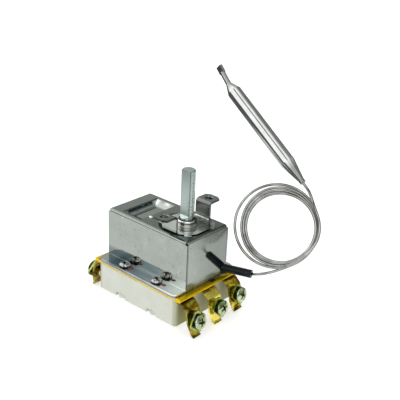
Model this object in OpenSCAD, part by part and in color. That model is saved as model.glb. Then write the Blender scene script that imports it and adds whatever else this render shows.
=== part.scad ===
// Three pole capillary thermostat: a folded steel housing over a ceramic switch base, with a
// control shaft, a mounting bracket, six screw terminals and a liquid filled sensing bulb.
// Origin: middle of the housing in plan, at the level of the terminals' lower ends.
// +Z runs along the control shaft, +X along the housing towards the capillary's outlet.

/* [Housing cover] */
// Length of the cover and of the ceramic base
housing_l = 47.6; // [46:0.1:52]
// Width of the cover between its flanges
housing_w = 26; // [25.6:0.1:29]
// Height of the cover's top above its flanges
housing_h = 22.4; // [22:0.1:25]
// Thickness of the cover's sheet
cover_t = 0.8; // [0.6:0.05:0.9]
// Outer radius of the folds round the cover's top
fold_r = 1.2; // [1.1:0.1:1.4]
// Seam between the walls at each corner
seam = 0.15; // [0.1:0.05:0.3]
// Width of the flanges along the two long sides
flange_w = 6.2; // [6:0.1:7.5]
// Radius of the flanges' outer corners
flange_corner_r = 3; // [1:0.5:4]
// Distance of the four cover screws from the middle, along X
screw_x = 9.7; // [8:0.1:10.5]
// Radius of the round opening in the top
opening_r = 12; // [11.6:0.1:12.2]
// Depth of the pressed recess beside the opening
recess_depth = 2.4; // [1.8:0.1:2.8]
// Length of the recess at its rim, along X
recess_l = 11.8; // [10.5:0.1:12.2]
// Width of the recess at its rim, along Y
recess_w = 22; // [18:0.1:22.4]

/* [Inner frame and base plate] */
// Thickness of the inner frame's sheet
frame_t = 0.8; // [0.6:0.05:1]
// Thickness of the insulating sheet
mica_t = 0.3; // [0.2:0.05:0.5]
// Thickness of the base plate
plate_t = 0.8; // [0.6:0.05:1.2]
// How far the base plate sticks out past each end of the ceramic base
plate_over = 2.6; // [1.5:0.1:3]

/* [Ceramic base] */
// Height of the ceramic base
ceramic_h = 12.4; // [12:0.1:15]
// How far the ceramic base and the base plate stay inside the flanges' edges
ceramic_inset = 0.4; // [0.2:0.1:0.8]
// Radius of the ceramic base's upright corners
ceramic_corner_r = 1.5; // [0.5:0.1:2.5]
// Width of each switch chamber
chamber_w = 4.2; // [3.9:0.1:4.8]
// Depth of the pockets for the nuts
nut_pocket = 1.9; // [1.9:0.05:2.4]

/* [Terminals] */
// Distance between neighbouring terminals
terminal_pitch = 13.7; // [13:0.1:14]
// Thickness of the terminal strips
strip_t = 0.8; // [0.7:0.05:0.9]
// Width of the terminal strips
strip_w = 7.8; // [6.8:0.1:8]
// Length of the strip's lower leg, which the screw goes through
strip_leg = 10.6; // [10:0.1:11.6]
// Long side of the clamp washers
washer_side = 8.2; // [7.4:0.1:8.6]
// Short side of the clamp washers
washer_wide = 6.8; // [6.4:0.1:7.4]
// Thickness of the clamp washers
washer_t = 0.9; // [0.7:0.05:1.1]
// Smallest gap that the open terminals leave for a wire
wire_gap = 1.4; // [1:0.1:1.6]
// Diameter of the terminal screws
terminal_screw_d = 3.5; // [3:0.1:3.8]
// Head diameter of the terminal screws
terminal_head_d = 6.6; // [5.8:0.1:6.8]

/* [Mounting bracket] */
// Distance between the two threaded mounting holes
ear_span = 28; // [27:0.1:29.5]
// Width of the bracket's ears
ear_w = 8; // [7:0.1:9]
// Height of the ears' mounting face above the cover's top
ear_h = 8.2; // [6:0.1:10]
// Thickness of the bracket's sheet
bracket_t = 1; // [0.8:0.05:1.2]
// Radius of the bracket's disc
disc_r = 10.6; // [10.2:0.1:10.8]
// Core diameter of the threaded holes in the ears
ear_hole_d = 3.3; // [2.5:0.1:4]

/* [Control shaft] */
// Distance of the shaft from the end where the capillary leaves
shaft_inset = 12.5; // [12.4:0.05:12.6]
// Diameter of the shaft
shaft_d = 6; // [5.6:0.1:6.4]
// Thickness of the shaft across its flat
flat_across = 4.6; // [4:0.1:5.2]
// Length of the shaft above the cover's top
shaft_out = 25.2; // [16:0.1:40]
// Angle through which the shaft turns
shaft_turn = 300; // [240:5:310]
// Pitch of the adjusting screw's thread
thread_pitch = 1; // [0.5:0.05:1.2]

/* [Sensor] */
// Outer diameter of the capillary
capillary_d = 1.2; // [1:0.1:1.3]
// Outer diameter of the sleeve over the capillary
sleeve_d = 3.6; // [3.2:0.1:3.6]
// Length of the sleeve outside the housing
sleeve_out = 13; // [8:0.5:13]
// Mean radius of the capillary's coil
coil_r = 16.4; // [15.6:0.1:17.2]
// Diameter of the sensing bulb
bulb_d = 6.4; // [4:0.1:6.8]
// Length of the bulb's straight part
bulb_l = 41.2; // [30:0.1:60]

/* [Hidden] */
$fn = 48;

// Small clearances
hair = 0.05;        // running clearance and hair gaps between pieces that move
slack = 0.1;        // easy clearance round fixed pieces
ov = 1;             // overshoot of a cut past a face

// Terminal strip: angles below the horizontal and centre line radii, from the ceramic outwards
strip_sink = 0.6;   // strip's top below the ceramic's top
strip_out = 1.4;    // straight part outside the ceramic's end
strip_slope = 40;
strip_tilt = 79;    // lower leg below the horizontal
strip_link = 2.6;
strip_r = 1.5;
taper_z = 6.6;      // the strip tapers below this height
lip_turn = 50;
lip_l = 0.5;
bend_step = 10;

// Points and headings along a bent strip's centre line; each leg is [length, turn, radius]
function strip_path(p, a, legs, i = 0) =
    i >= len(legs) ? [[p, a]] :
    let (leg = legs[i],
         q = p + leg[0] * [cos(a), sin(a)],
         s = sign(leg[1]),
         c = q + leg[2] * s * [-sin(a), cos(a)],
         n = ceil(abs(leg[1]) / bend_step),
         e = a + leg[1],
         arc = n < 2 ? [] : [for (k = [1 : n - 1]) let (b = a + leg[1] * k / n)
                                 [c + leg[2] * s * [sin(b), -cos(b)], b]])
    concat([[p, a], [q, a]], arc,
           strip_path(s == 0 ? q : c + leg[2] * s * [sin(e), -cos(e)], e, legs, i + 1));

// Outline of a bent strip: one side of its centre line, then the other side back
function strip_outline(path, t) =
    concat([for (s = path) s[0] + t / 2 * [-sin(s[1]), cos(s[1])]],
           [for (k = [len(path) - 1 : -1 : 0]) path[k][0] - t / 2 * [-sin(path[k][1]), cos(path[k][1])]]);

// Outer part of a terminal, from the ceramic's end face outwards, heights from the strip's middle
leg_cuts = [0, 0.6, 1.3];       // how much shorter the lower legs are, from front to back
function terminal_legs(k) = [[strip_out, -strip_slope, strip_r],
                             [strip_link, strip_slope - strip_tilt, strip_r],
                             [strip_leg - leg_cuts[k + 1], lip_turn, strip_r], [lip_l, 0, 0]];
terminal_end = strip_path([housing_l / 2, 0], 0, terminal_legs(-1));
strip_drop = -(terminal_end[len(terminal_end) - 1][0][1] - strip_t / 2 * cos(lip_turn - strip_tilt));

// Heights, from the terminals' lower ends up
strip_z = strip_drop;
ceramic_top = strip_z + strip_t / 2 + strip_sink;
ceramic_z = ceramic_top - ceramic_h;
plate_z = ceramic_top;
mica_z = plate_z + plate_t;
frame_z = mica_z + mica_t;
cover_z = frame_z + frame_t;
flange_top = cover_z + cover_t;
cover_top = flange_top + housing_h;
frame_top = cover_top - cover_t;

// Widths
ceramic_w = housing_w + 2 * (flange_w - ceramic_inset);
screw_y = housing_w / 2 + flange_w / 2;
frame_w = housing_w - 2 * (cover_t + slack);
frame_in = frame_w / 2 - frame_t;

// Cover details
shaft_x = housing_l / 2 - shaft_inset;
relief_drop = 0.3;
recess_right = shaft_x - opening_r - 4.5;
// Fall of the recess's walls: [how far in, share of the depth] for the left, the long and the right walls
left_fall = [[0, 0], [0.7, 0.12], [1.5, 0.6], [2.2, 0.9], [3.2, 1]];
long_fall = [[0, 0], [0.8, 0.1], [3.6, 0.9], [4.4, 1]];
right_fall = [[0, 0], [0.5, 0.15], [0.9, 0.8], [1.5, 1]];
corner_cut = [4.3, 2.5, 3.4];    // left corners: length along the long wall, along the left wall, run
slot_y = 3.4;
plate_slot = [2.2, 3.2];
rivet_place = [shaft_x - 15.2, -6.1];
rivet_d = 1.6;
rivet_head_d = 2.2;
rivet_tail_d = 1.9;

// Cover screws and their nuts
screw_d = 3;
screw_hole_d = 3.3;
screw_head = [5.2, 2];
nut_af = 5.5;
nut_t = 1.8;

// Bracket, bush, clip
riser_r = 1.2;
ear_end = 3.5;
ear_corner = [1.9, 1.2];
ear_draw = 1.2;
lug_w = 3;
lug_reach = 1.5;
disc_flat = 9.8;        // flat side of the disc, from the shaft's axis
bush_r = 4.25;
bush_flange = [6, 1.4];
collar_h = 2.6;
rim_t = 0.55;
rim_h = 1.1;
clip_t = 0.6;
clip_gap = 70;
groove_deep = 0.5;

// Shaft inside the housing
shaft_flange_r = 4.5;
shaft_flange_t = 1.35;
stop_r = 8.3;
stop_in_r = 6.6;
stop_lug_w = 2.4;
stop_play = 1;
stop_half = (360 - shaft_turn) / 2 - asin(stop_lug_w / 2 / stop_in_r) - stop_play;
flat_start = 4.6;       // the flat begins this far above the cover's top
flat_slope = 1;
tip_chamfer = 0.5;
tongue = [5.4, 2];

// Heights of the setting mechanism, worked down from the frame's top
bush_low = frame_top - frame_t - bush_flange[1];
shaft_flange_z = bush_low - hair - shaft_flange_t;
set_travel = thread_pitch * shaft_turn / 360;
neck_l = 0.7;
set_top = shaft_flange_z - neck_l - set_travel - 0.3;
slot_deep = 3.6;
tongue_end = set_top - slot_deep + set_travel + 0.3;
set_r = 4;
set_l = 6.2;
set_low = set_top - set_l;
nose_l = 0.6;
nose_r = 1.2;
bridge_t = 1.2;
bridge_z = set_low + 1.5;
bridge_half_l = 7.5;
collar_r = 5.8;
bridge_collar_h = 2.4;
bridge_tab_w = 6;
capsule_top = set_low - nose_l - hair;
boss_h = 2.1;
boss_r = 3;
capsule_t = 2;
capsule_r = 9.4;
capsule_rim = [1.2, 0.5];
button_h = 0.9;
button_r = 1.6;
capsule_mid = capsule_top - boss_h - capsule_t / 2;
capsule_low = capsule_top - boss_h - capsule_t - button_h;

// Switch
pole_y = screw_y - screw_hole_d / 2 - 1.25 - chamber_w / 2;
pole_places = [-pole_y, 0, pole_y];
chamber_l = 34;
chamber_floor = 3;
arm_w = 3;
arm_t = 0.5;
contact_d = 2.4;
contact_t = 0.8;
contact_x = chamber_l / 2 - 6;
heel_x = 3 - chamber_l / 2;
heel_play = 0.12;
push_x = -4;
moving_top = strip_z - strip_t / 2 - contact_t - hair;
arm_top = moving_top - contact_t;
bar = [3.2, 2 * pole_y + arm_w, 2.1];
bar_low = arm_top + hair;
bar_groove = 0.9;
stem_r = 1.6;
lever_t = 1.2;
lever_w = 9;
lever_top = capsule_low - hair;
lever_low = lever_top - lever_t;
pin_x = shaft_x + 5.6;
pin_r = 1;
pin_z = lever_low - 0.2;
lever_ear = [2.2, 1.2];
dimple_h = 0.7;
stem_top = lever_low - dimple_h - hair;

// Sensor
sleeve_turn = 19.6;
sleeve_exit = [housing_l / 2, 11.4 - (26 - housing_w) / 2, flange_top + sleeve_d / 2 + slack];
sleeve_in = 3;
sleeve_bore = capillary_d + 0.4;
sleeve_notch = [4.6, 3.9, sleeve_d + 2 * slack + cover_t];
sleeve_way = [cos(sleeve_turn), sin(sleeve_turn), 0];
coil_aim = [37, 24];        // azimuth and elevation that the coil's axis points to
coil_centre = [40.4, 25.8, 41.8];
coil_section = [3.8, 4.8];  // radial and axial size of the bundle of turns
coil_round = 1.6;
bulb_neck = [46.6, 32.5, 61.8];
bulb_lean = [56.7, 173.4];      // tilt from upright, and the direction it leans to
neck_l_bulb = 1.5;
neck_d = 2.6;
low_cone = 9.8;
high_cone = 4.8;
stem_l = 9.8;
stem_d = 2.4;
stem_bend = 11;
crimp_l = 3.2;
crimp_w = 2.9;
crimp_t = 1.4;

// Colours
zinc = [0.69, 0.71, 0.69];
dark_zinc = [0.56, 0.58, 0.56];
yellow_zinc = [0.8, 0.64, 0.1];
brass = [0.72, 0.6, 0.2];
iridescent = [0.62, 0.68, 0.36];
steatite = [0.88, 0.88, 0.84];
mica_colour = [0.84, 0.82, 0.72];
black = [0.07, 0.08, 0.09];
silver = [0.85, 0.85, 0.84];
stainless = [0.76, 0.77, 0.77];

// Helpers
module along_x(x0, x1) translate([x0, 0, 0]) rotate([90, 0, 90]) linear_extrude(x1 - x0) children();
module along_y(y0, y1) translate([0, y1, 0]) rotate([90, 0, 0]) linear_extrude(y1 - y0) children();

module plan_rect(l, w, r) {
    square([l - 2 * r, w], center = true);
    square([l, w - 2 * r], center = true);
    for (sx = [-1, 1], sy = [-1, 1]) translate([sx * (l / 2 - r), sy * (w / 2 - r)]) circle(r);
}

// A wall's and a top's section: square below, with the two upper corners rounded
module arch(w, low, high, r) {
    translate([-w / 2, low]) square([w, high - low - r]);
    translate([-w / 2 + r, low]) square([w - 2 * r, high - low]);
    for (s = [-1, 1]) translate([s * (w / 2 - r), high - r]) circle(r);
}

module fold_section(w, t, low, high, r) {
    difference() {
        arch(w, low, high, r);
        arch(w - 2 * t, low - ov, high - t, r - t);
    }
}

// The recess's space, grown all round by the given amount: walls that fall in soft curves to a flat
// floor, with the two left corners cut off by slopes
module recess_space(grow, low) {
    x0 = recess_right - recess_l - grow;
    x1 = recess_right + grow;
    w = recess_w / 2 + grow;
    z = cover_top;
    deep = recess_depth + low;
    intersection() {
        along_y(-w, w) polygon(concat([for (f = left_fall) [x0 + f[0], z - deep * f[1]]],
                                      [for (i = [len(right_fall) - 1 : -1 : 0])
                                          [x1 - right_fall[i][0], z - deep * right_fall[i][1]]]));
        along_x(x0, x1) polygon(concat([for (f = long_fall) [-w + f[0], z - deep * f[1]]],
                                       [for (i = [len(long_fall) - 1 : -1 : 0])
                                           [w - long_fall[i][0], z - deep * long_fall[i][1]]]));
        for (s = [0, 1]) mirror([0, s, 0]) corner_slope(x0, w, z, deep);
    }
}

// Everything inside the slope that cuts off one left corner of the recess
module corner_slope(x0, w, z, deep) {
    turn = atan2(corner_cut[1], corner_cut[0]);
    translate([x0 + corner_cut[0], w, z]) rotate(90 + turn) rotate([0, atan2(corner_cut[2], deep), 0])
        translate([-60, -60, -30]) cube([60, 120, 60]);
}

module at_screws() {
    for (sx = [-1, 1], sy = [-1, 1]) translate([sx * screw_x, sy * screw_y, 0]) children();
}

module flange_plan(inner) {
    difference() {
        plan_rect(housing_l, housing_w + 2 * flange_w, flange_corner_r);
        square([housing_l + 2 * ov, inner], center = true);
    }
}

module pan_head(d, h) {
    dome_r = (d * d / 4 + h * h) / (2 * h) * 1.25;
    intersection() {
        cylinder(d = d, h = h);
        translate([0, 0, h - dome_r]) sphere(dome_r, $fn = 64);
    }
}

module cross_recess(l, w, deep) {
    for (a = [0, 90]) rotate(a) translate([-l / 2, -w / 2, -deep]) cube([l, w, deep + ov]);
}

// A round tube swept along points, with its rings square to the way between neighbours
function unit(v) = v / norm(v);
function way_at(pts, i) = unit(pts[min(i + 1, len(pts) - 1)] - pts[max(i - 1, 0)]);
function side_of(v) = unit(cross(v, abs(v[2]) < 0.9 ? [0, 0, 1] : [1, 0, 0]));
function ring_at(p, v, d, n) =
    let (u = side_of(v), w = cross(v, u))
    [for (k = [0 : n - 1]) p + d / 2 * (cos(360 * k / n) * u + sin(360 * k / n) * w)];
module swept_tube(pts, d, n = 8) {
    rings = len(pts);
    shell = [for (i = [0 : rings - 1]) each ring_at(pts[i], way_at(pts, i), d, n)];
    sides = [for (i = [0 : rings - 2], k = [0 : n - 1]) let (j = (k + 1) % n)
                 [i * n + k, (i + 1) * n + k, (i + 1) * n + j, i * n + j]];
    ends = [[for (k = [0 : n - 1]) k], [for (k = [n - 1 : -1 : 0]) (rings - 1) * n + k]];
    polyhedron(shell, concat(sides, ends));
}

// Points on a smooth curve from a to b that leaves along u and arrives along v
function curve(a, u, b, v, n) =
    [for (i = [0 : n]) let (t = i / n, c0 = a + u, c1 = b - v)
        pow(1 - t, 3) * a + 3 * pow(1 - t, 2) * t * c0 + 3 * (1 - t) * t * t * c1 + t * t * t * b];

module housing_cover() color(zinc) {
    end_half = housing_w / 2 - cover_t - seam;
    difference() {
        union() {
            along_x(-housing_l / 2 + fold_r, housing_l / 2 - fold_r)
                fold_section(housing_w, cover_t, cover_z, cover_top, fold_r);
            along_y(-end_half, end_half)
                fold_section(housing_l, cover_t, cover_z, cover_top, fold_r);
            for (sx = [0, 1], sy = [0, 1]) mirror([sx, 0, 0]) mirror([0, sy, 0])
                translate([housing_l / 2 - fold_r - ov, housing_w / 2 - cover_t, cover_z])
                    cube([fold_r + ov, cover_t, cover_top - fold_r - relief_drop - cover_z]);
            translate([0, 0, cover_z]) linear_extrude(cover_t) flange_plan(housing_w - 2 * cover_t);
            recess_space(cover_t * 0.6, cover_t);
        }
        recess_space(0, 0);
        shaft_opening();
        lug_notch();
        translate(concat(rivet_place, frame_top - ov)) cylinder(d = rivet_d, h = cover_t + 2 * ov);
        at_screws() translate([0, 0, cover_z - ov]) cylinder(d = screw_hole_d, h = cover_t + 2 * ov);
        sleeve_passage();
    }
}

// Round opening in the top, cut off beside the folds, and its notch for the bracket's lug
module shaft_opening() {
    right = housing_l / 2 - fold_r - 0.3;
    side = housing_w / 2 - fold_r;
    translate([0, 0, frame_top - ov]) linear_extrude(cover_t + 2 * ov) intersection() {
        translate([shaft_x, 0]) circle(opening_r, $fn = 96);
        translate([shaft_x - 20, -side]) square([right - shaft_x + 20, 2 * side]);
    }
}

module lug_notch() {
    translate([shaft_x, 0, frame_top - ov]) rotate(-45) translate([disc_r - 2, -lug_w / 2 - 4 * slack, 0])
        cube([2 + lug_reach + 3 * slack, lug_w + 8 * slack, cover_t + 2 * ov]);
}

// Corner cut away where the sleeve leaves the housing
module sleeve_passage() {
    translate([housing_l / 2 + ov - sleeve_notch[0], housing_w / 2 - sleeve_notch[1], cover_z - ov])
        cube([sleeve_notch[0] + ov, sleeve_notch[1] + 2 * slack, sleeve_notch[2] + ov]);
}

module inner_frame() color(dark_zinc) {
    left = recess_right + cover_t + slack;
    right = housing_l / 2 - fold_r;
    difference() {
        union() {
            along_x(left, right) fold_section(frame_w, frame_t, frame_z, frame_top, frame_t + 0.2);
            translate([0, 0, frame_z]) linear_extrude(frame_t) flange_plan(2 * frame_in);
            stop_tab();
        }
        translate([shaft_x, 0, frame_top - frame_t - ov]) cylinder(r = bush_r + 0.02, h = frame_t + 2 * ov);
        translate(concat(rivet_place, frame_top - frame_t - ov)) cylinder(d = rivet_d, h = frame_t + 2 * ov);
        at_screws() translate([0, 0, frame_z - ov]) cylinder(d = screw_hole_d, h = frame_t + 2 * ov);
        translate([pin_x, -frame_w / 2 - ov, pin_z]) rotate([-90, 0, 0])
            cylinder(r = pin_r, h = frame_w + 2 * ov);
        translate([shaft_x - bridge_tab_w / 2 - slack, -frame_w / 2 - ov, bridge_z - slack])
            cube([bridge_tab_w + 2 * slack, frame_w + 2 * ov, bridge_t + 2 * slack]);
        translate([housing_l / 2 + ov - sleeve_notch[0], housing_w / 2 - sleeve_notch[1], cover_z])
            cube([sleeve_notch[0] + ov, sleeve_notch[1], sleeve_notch[2]]);
    }
}

// Down-turned stop in the frame's top, as wide as the shaft's range leaves it
module stop_tab() {
    low = shaft_flange_z + hair;
    translate([shaft_x, 0, low]) rotate(stop_at() - stop_half)
        rotate_extrude(angle = 2 * stop_half)
            translate([stop_in_r + 0.2, 0]) square([stop_r - stop_in_r - 0.2, frame_top - frame_t / 2 - low]);
}

// Direction of the stop's middle: past the resting lug by half of the angle that the range leaves
function stop_at() = 90 + (360 - shaft_turn) / 2;

module insulating_sheet() color(mica_colour) {
    translate([0, 0, mica_z]) linear_extrude(mica_t) difference() {
        square([housing_l, ceramic_w + ceramic_inset], center = true);
        translate([push_x, 0]) circle(stem_r + 0.5);
        for (sx = [-1, 1], sy = [-1, 1]) translate([sx * screw_x, sy * screw_y]) circle(d = screw_hole_d);
    }
}

// Base plate: its two ends are hemmed, the sheet folded back on itself outside the housing
module base_plate() color(yellow_zinc) {
    hem_x = housing_l / 2 + plate_over - plate_t;
    difference() {
        union() {
            translate([0, 0, plate_z]) linear_extrude(plate_t)
                square([2 * hem_x, ceramic_w], center = true);
            for (s = [0, 1]) mirror([s, 0, 0]) along_y(-ceramic_w / 2, ceramic_w / 2) {
                translate([housing_l / 2 + slack, plate_z])
                    square([hem_x - housing_l / 2 - slack, 2 * plate_t]);
                translate([hem_x, plate_z + plate_t]) circle(plate_t);
            }
        }
        translate([0, 0, plate_z - ov]) linear_extrude(2 * plate_t + 2 * ov) {
            translate([push_x, 0]) circle(stem_r + 0.7);
            translate([housing_l / 2 - 0.7, slot_y - plate_slot[1] / 2]) square(plate_slot);
            for (sx = [-1, 1], sy = [-1, 1]) translate([sx * screw_x, sy * screw_y]) circle(d = screw_hole_d);
        }
    }
}

// Plan of one terminal strip: full width outside, narrow inside its chamber
module strip_plan(y_out, y_in, far) {
    translate([chamber_l / 2 - 0.5, y_out - strip_w / 2]) square([far, strip_w]);
    translate([-chamber_l, y_in - arm_w / 2 - 0.1]) square([chamber_l * 1.5 + 1, arm_w + 0.2]);
}

module ceramic_base() color(steatite) {
    difference() {
        translate([0, 0, ceramic_z]) linear_extrude(ceramic_h)
            plan_rect(housing_l, ceramic_w, ceramic_corner_r);
        // Switch chambers, with a raised heel rest at their left ends
        for (y = pole_places) {
            translate([heel_x + 1.5, y - chamber_w / 2, ceramic_z + chamber_floor])
                cube([chamber_l / 2 - heel_x - 1.5, chamber_w, ceramic_h]);
            translate([-chamber_l / 2, y - chamber_w / 2, arm_top - arm_t - heel_play])
                cube([chamber_l, chamber_w, ceramic_h]);
        }
        // Channels that the terminal strips lie in
        for (k = [-1 : 1], s = [0, 1]) mirror([s, 0, 0])
            translate([chamber_l / 2 - 0.6, 0, strip_z - strip_t / 2])
                linear_extrude(ceramic_h) channel_plan(k);
        // Cross groove for the push bar
        translate([push_x - bar[0] / 2 - 0.3, -bar[1] / 2 - 0.4, bar_low - bar_groove])
            cube([bar[0] + 0.6, bar[1] + 0.8, ceramic_h]);
        at_screws() translate([0, 0, ceramic_z - ov]) cylinder(d = screw_hole_d, h = ceramic_h + 2 * ov);
        // Pockets that hold the nuts, open to the front and back faces
        for (sx = [-1, 1], s = [0, 1]) mirror([0, s, 0])
            translate([sx * screw_x - nut_af / 2 - slack, screw_y - nut_af / 2 / cos(30) - slack,
                       ceramic_z - ov])
                cube([nut_af + 2 * slack, ceramic_w, nut_pocket + ov]);
    }
}

module channel_plan(k) {
    y_in = k * pole_y;
    y_out = k * terminal_pitch;
    low = min(y_out - strip_w / 2, y_in - chamber_w / 2) - slack;
    high = max(y_out + strip_w / 2, y_in + chamber_w / 2) + slack;
    translate([0, low]) square([housing_l, high - low]);
}

module mounting_bracket() color(zinc) {
    z = frame_top;
    difference() {
        union() {
            translate([shaft_x, 0, z]) linear_extrude(bracket_t) intersection() {
                circle(disc_r, $fn = 96);
                translate([-20, -20]) square([20 + disc_flat, 40]);
            }
            translate([shaft_x, 0, z]) rotate(-45) translate([0, -lug_w / 2, 0])
                cube([disc_r + lug_reach, lug_w, bracket_t]);
            for (s = [0, 1]) mirror([0, s, 0]) bracket_ear();
        }
        translate([shaft_x, 0, z - ov]) cylinder(r = bush_r + 0.02, h = bracket_t + 2 * ov);
    }
}

// One ear: out from the disc, up, and out again, with its threaded hole
module bracket_ear() {
    mid = frame_top + bracket_t / 2;
    face = cover_top + ear_h;
    riser_y = ear_span / 2 - 3.6;
    rise = face - bracket_t / 2 - mid - 2 * riser_r;
    legs = [[riser_y - riser_r - disc_r / 2, 90, riser_r], [rise, -90, riser_r],
            [ear_span / 2 + ear_end - riser_y - riser_r, 0, 0]];
    difference() {
        union() {
            intersection() {
                along_x(shaft_x - ear_w / 2, shaft_x + ear_w / 2)
                    polygon(strip_outline(strip_path([disc_r / 2, mid], 0, legs), bracket_t));
                translate([shaft_x, 0, frame_top - ov]) linear_extrude(ear_h + 3 * ov) ear_plan();
            }
            // The thread's hole is drawn through to a collar under the ear
            translate([shaft_x, ear_span / 2, face - bracket_t - ear_draw])
                cylinder(d = ear_hole_d + 1.5, h = ear_draw + bracket_t / 2);
        }
        translate([shaft_x, ear_span / 2, face - bracket_t - ear_draw - ov])
            cylinder(d = ear_hole_d, h = bracket_t + ear_draw + 2 * ov);
        translate([shaft_x, ear_span / 2, face - 0.4])
            cylinder(d1 = ear_hole_d, d2 = ear_hole_d + 0.9, h = 0.45);
    }
}

module ear_plan() {
    far = ear_span / 2 + ear_end;
    side = ear_w / 2;
    polygon([[-side, 0], [side, 0], [side, far - ear_corner[1]], [side - ear_corner[0], far],
             [ear_corner[0] - side, far], [-side, far - ear_corner[1]]]);
}

module shaft_bush() color(dark_zinc) {
    seat = frame_top + bracket_t;
    bore = shaft_d / 2 + hair;
    rim = seat + collar_h;
    translate([shaft_x, 0, 0]) rotate_extrude($fn = 64) polygon([
        [bore, bush_low], [bush_flange[0], bush_low], [bush_flange[0], bush_low + bush_flange[1]],
        [bush_r, bush_low + bush_flange[1]], [bush_r, seat], [bush_r + 0.3, seat],
        [bush_r + 0.3, seat + 0.4], [bush_r, seat + 0.6], [bush_r, rim - 0.2], [bush_r - 0.2, rim],
        [bush_r - rim_t, rim], [bush_r - rim_t, rim - rim_h], [bore, rim - rim_h]]);
}

clip_z = frame_top + bracket_t + collar_h - rim_h + slack;

module retaining_clip() color(dark_zinc) {
    inner = shaft_d / 2 - groove_deep + slack;
    outer = bush_r - rim_t - 0.15;
    translate([shaft_x, 0, clip_z]) rotate(45 + clip_gap / 2) rotate_extrude(angle = 360 - clip_gap)
        translate([inner, 0]) square([outer - inner, clip_t]);
}

module control_shaft() color(zinc) {
    top = cover_top + shaft_out;
    r = shaft_d / 2;
    translate([shaft_x, 0, 0]) difference() {
        union() {
            rotate_extrude($fn = 64) polygon([
                [0, shaft_flange_z - neck_l], [r, shaft_flange_z - neck_l], [r, shaft_flange_z],
                [shaft_flange_r, shaft_flange_z], [shaft_flange_r, shaft_flange_z + shaft_flange_t],
                [r, shaft_flange_z + shaft_flange_t], [r, clip_z - hair], [r - groove_deep, clip_z - hair],
                [r - groove_deep, clip_z + clip_t + hair], [r, clip_z + clip_t + hair],
                [r, top - tip_chamfer], [r - tip_chamfer, top], [0, top]]);
            translate([-tongue[0] / 2, -tongue[1] / 2, tongue_end])
                cube([tongue[0], tongue[1], shaft_flange_z - neck_l - tongue_end + slack]);
            stop_lug();
        }
        translate([-shaft_d, -shaft_d - (flat_across - r), cover_top + flat_start])
            cube([2 * shaft_d, shaft_d, shaft_out]);
        // The flat ends in the cutter's slope
        along_x(-shaft_d, shaft_d)
            polygon([[r - flat_across, cover_top + flat_start + ov], [r - flat_across, cover_top + flat_start],
                     [-r, cover_top + flat_start - flat_slope], [-2 * r, cover_top + flat_start - flat_slope],
                     [-2 * r, cover_top + flat_start + ov]]);
    }
}

// Radial lug on the shaft's flange, which meets the frame's stop at both ends of the range
module stop_lug() {
    translate([-stop_lug_w / 2, shaft_flange_r - 1, shaft_flange_z + slack])
        cube([stop_lug_w, stop_r - 0.3 - shaft_flange_r + 1, shaft_flange_t - 2 * slack]);
}

module top_rivet() color(zinc) {
    translate([rivet_place[0], rivet_place[1], 0]) {
        translate([0, 0, frame_top - frame_t]) cylinder(d = rivet_d, h = frame_t + cover_t);
        translate([0, 0, cover_top]) pan_head(rivet_head_d, 0.8);
        translate([0, 0, frame_top - frame_t - 0.4]) cylinder(d = rivet_tail_d, h = 0.4);
    }
}

// Cover screws: numbered round from the front left corner
function screw_place(i) = [(i == 1 || i == 4 ? -1 : 1) * screw_x, (i < 3 ? -1 : 1) * screw_y];

module cover_screw(i) color(zinc) {
    end = ceramic_z + 0.3;
    translate([screw_place(i)[0], screw_place(i)[1], 0]) {
        translate([0, 0, end]) cylinder(d = screw_d - 2 * hair, h = flange_top - end + hair);
        translate([0, 0, flange_top]) rotate(i * 25) difference() {
            pan_head(screw_head[0], screw_head[1]);
            translate([0, 0, screw_head[1]]) cross_recess(2.8, 0.7, 1.2);
        }
    }
}

module cover_nut(i) color(dark_zinc) {
    translate([screw_place(i)[0], screw_place(i)[1], ceramic_z + nut_pocket - nut_t]) difference() {
        rotate(30) cylinder(d = nut_af / cos(30), h = nut_t, $fn = 6);
        translate([0, 0, -ov]) cylinder(d = screw_d, h = nut_t + 2 * ov);
    }
}

// Where each terminal screw's axis meets the middle of its strip's lower leg
leg_start = strip_path([housing_l / 2, strip_z], 0,
                       [[strip_out, -strip_slope, strip_r], [strip_link, strip_slope - strip_tilt, strip_r]]);
leg_top = leg_start[len(leg_start) - 1][0];
seat_downs = [4.7, 3.6, 3];

function seat_at(k) = leg_top + seat_downs[k + 1] * [cos(strip_tilt), -sin(strip_tilt)];

// Puts something made along +Z on the screw axis of a terminal, with its origin at the strip's outer face
module on_terminal(k, right) {
    mirror([right ? 0 : 1, 0, 0])
        translate([seat_at(k)[0], k * terminal_pitch, seat_at(k)[1]])
            rotate([0, strip_tilt, 0]) translate([0, 0, strip_t / 2]) children();
}

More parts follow.
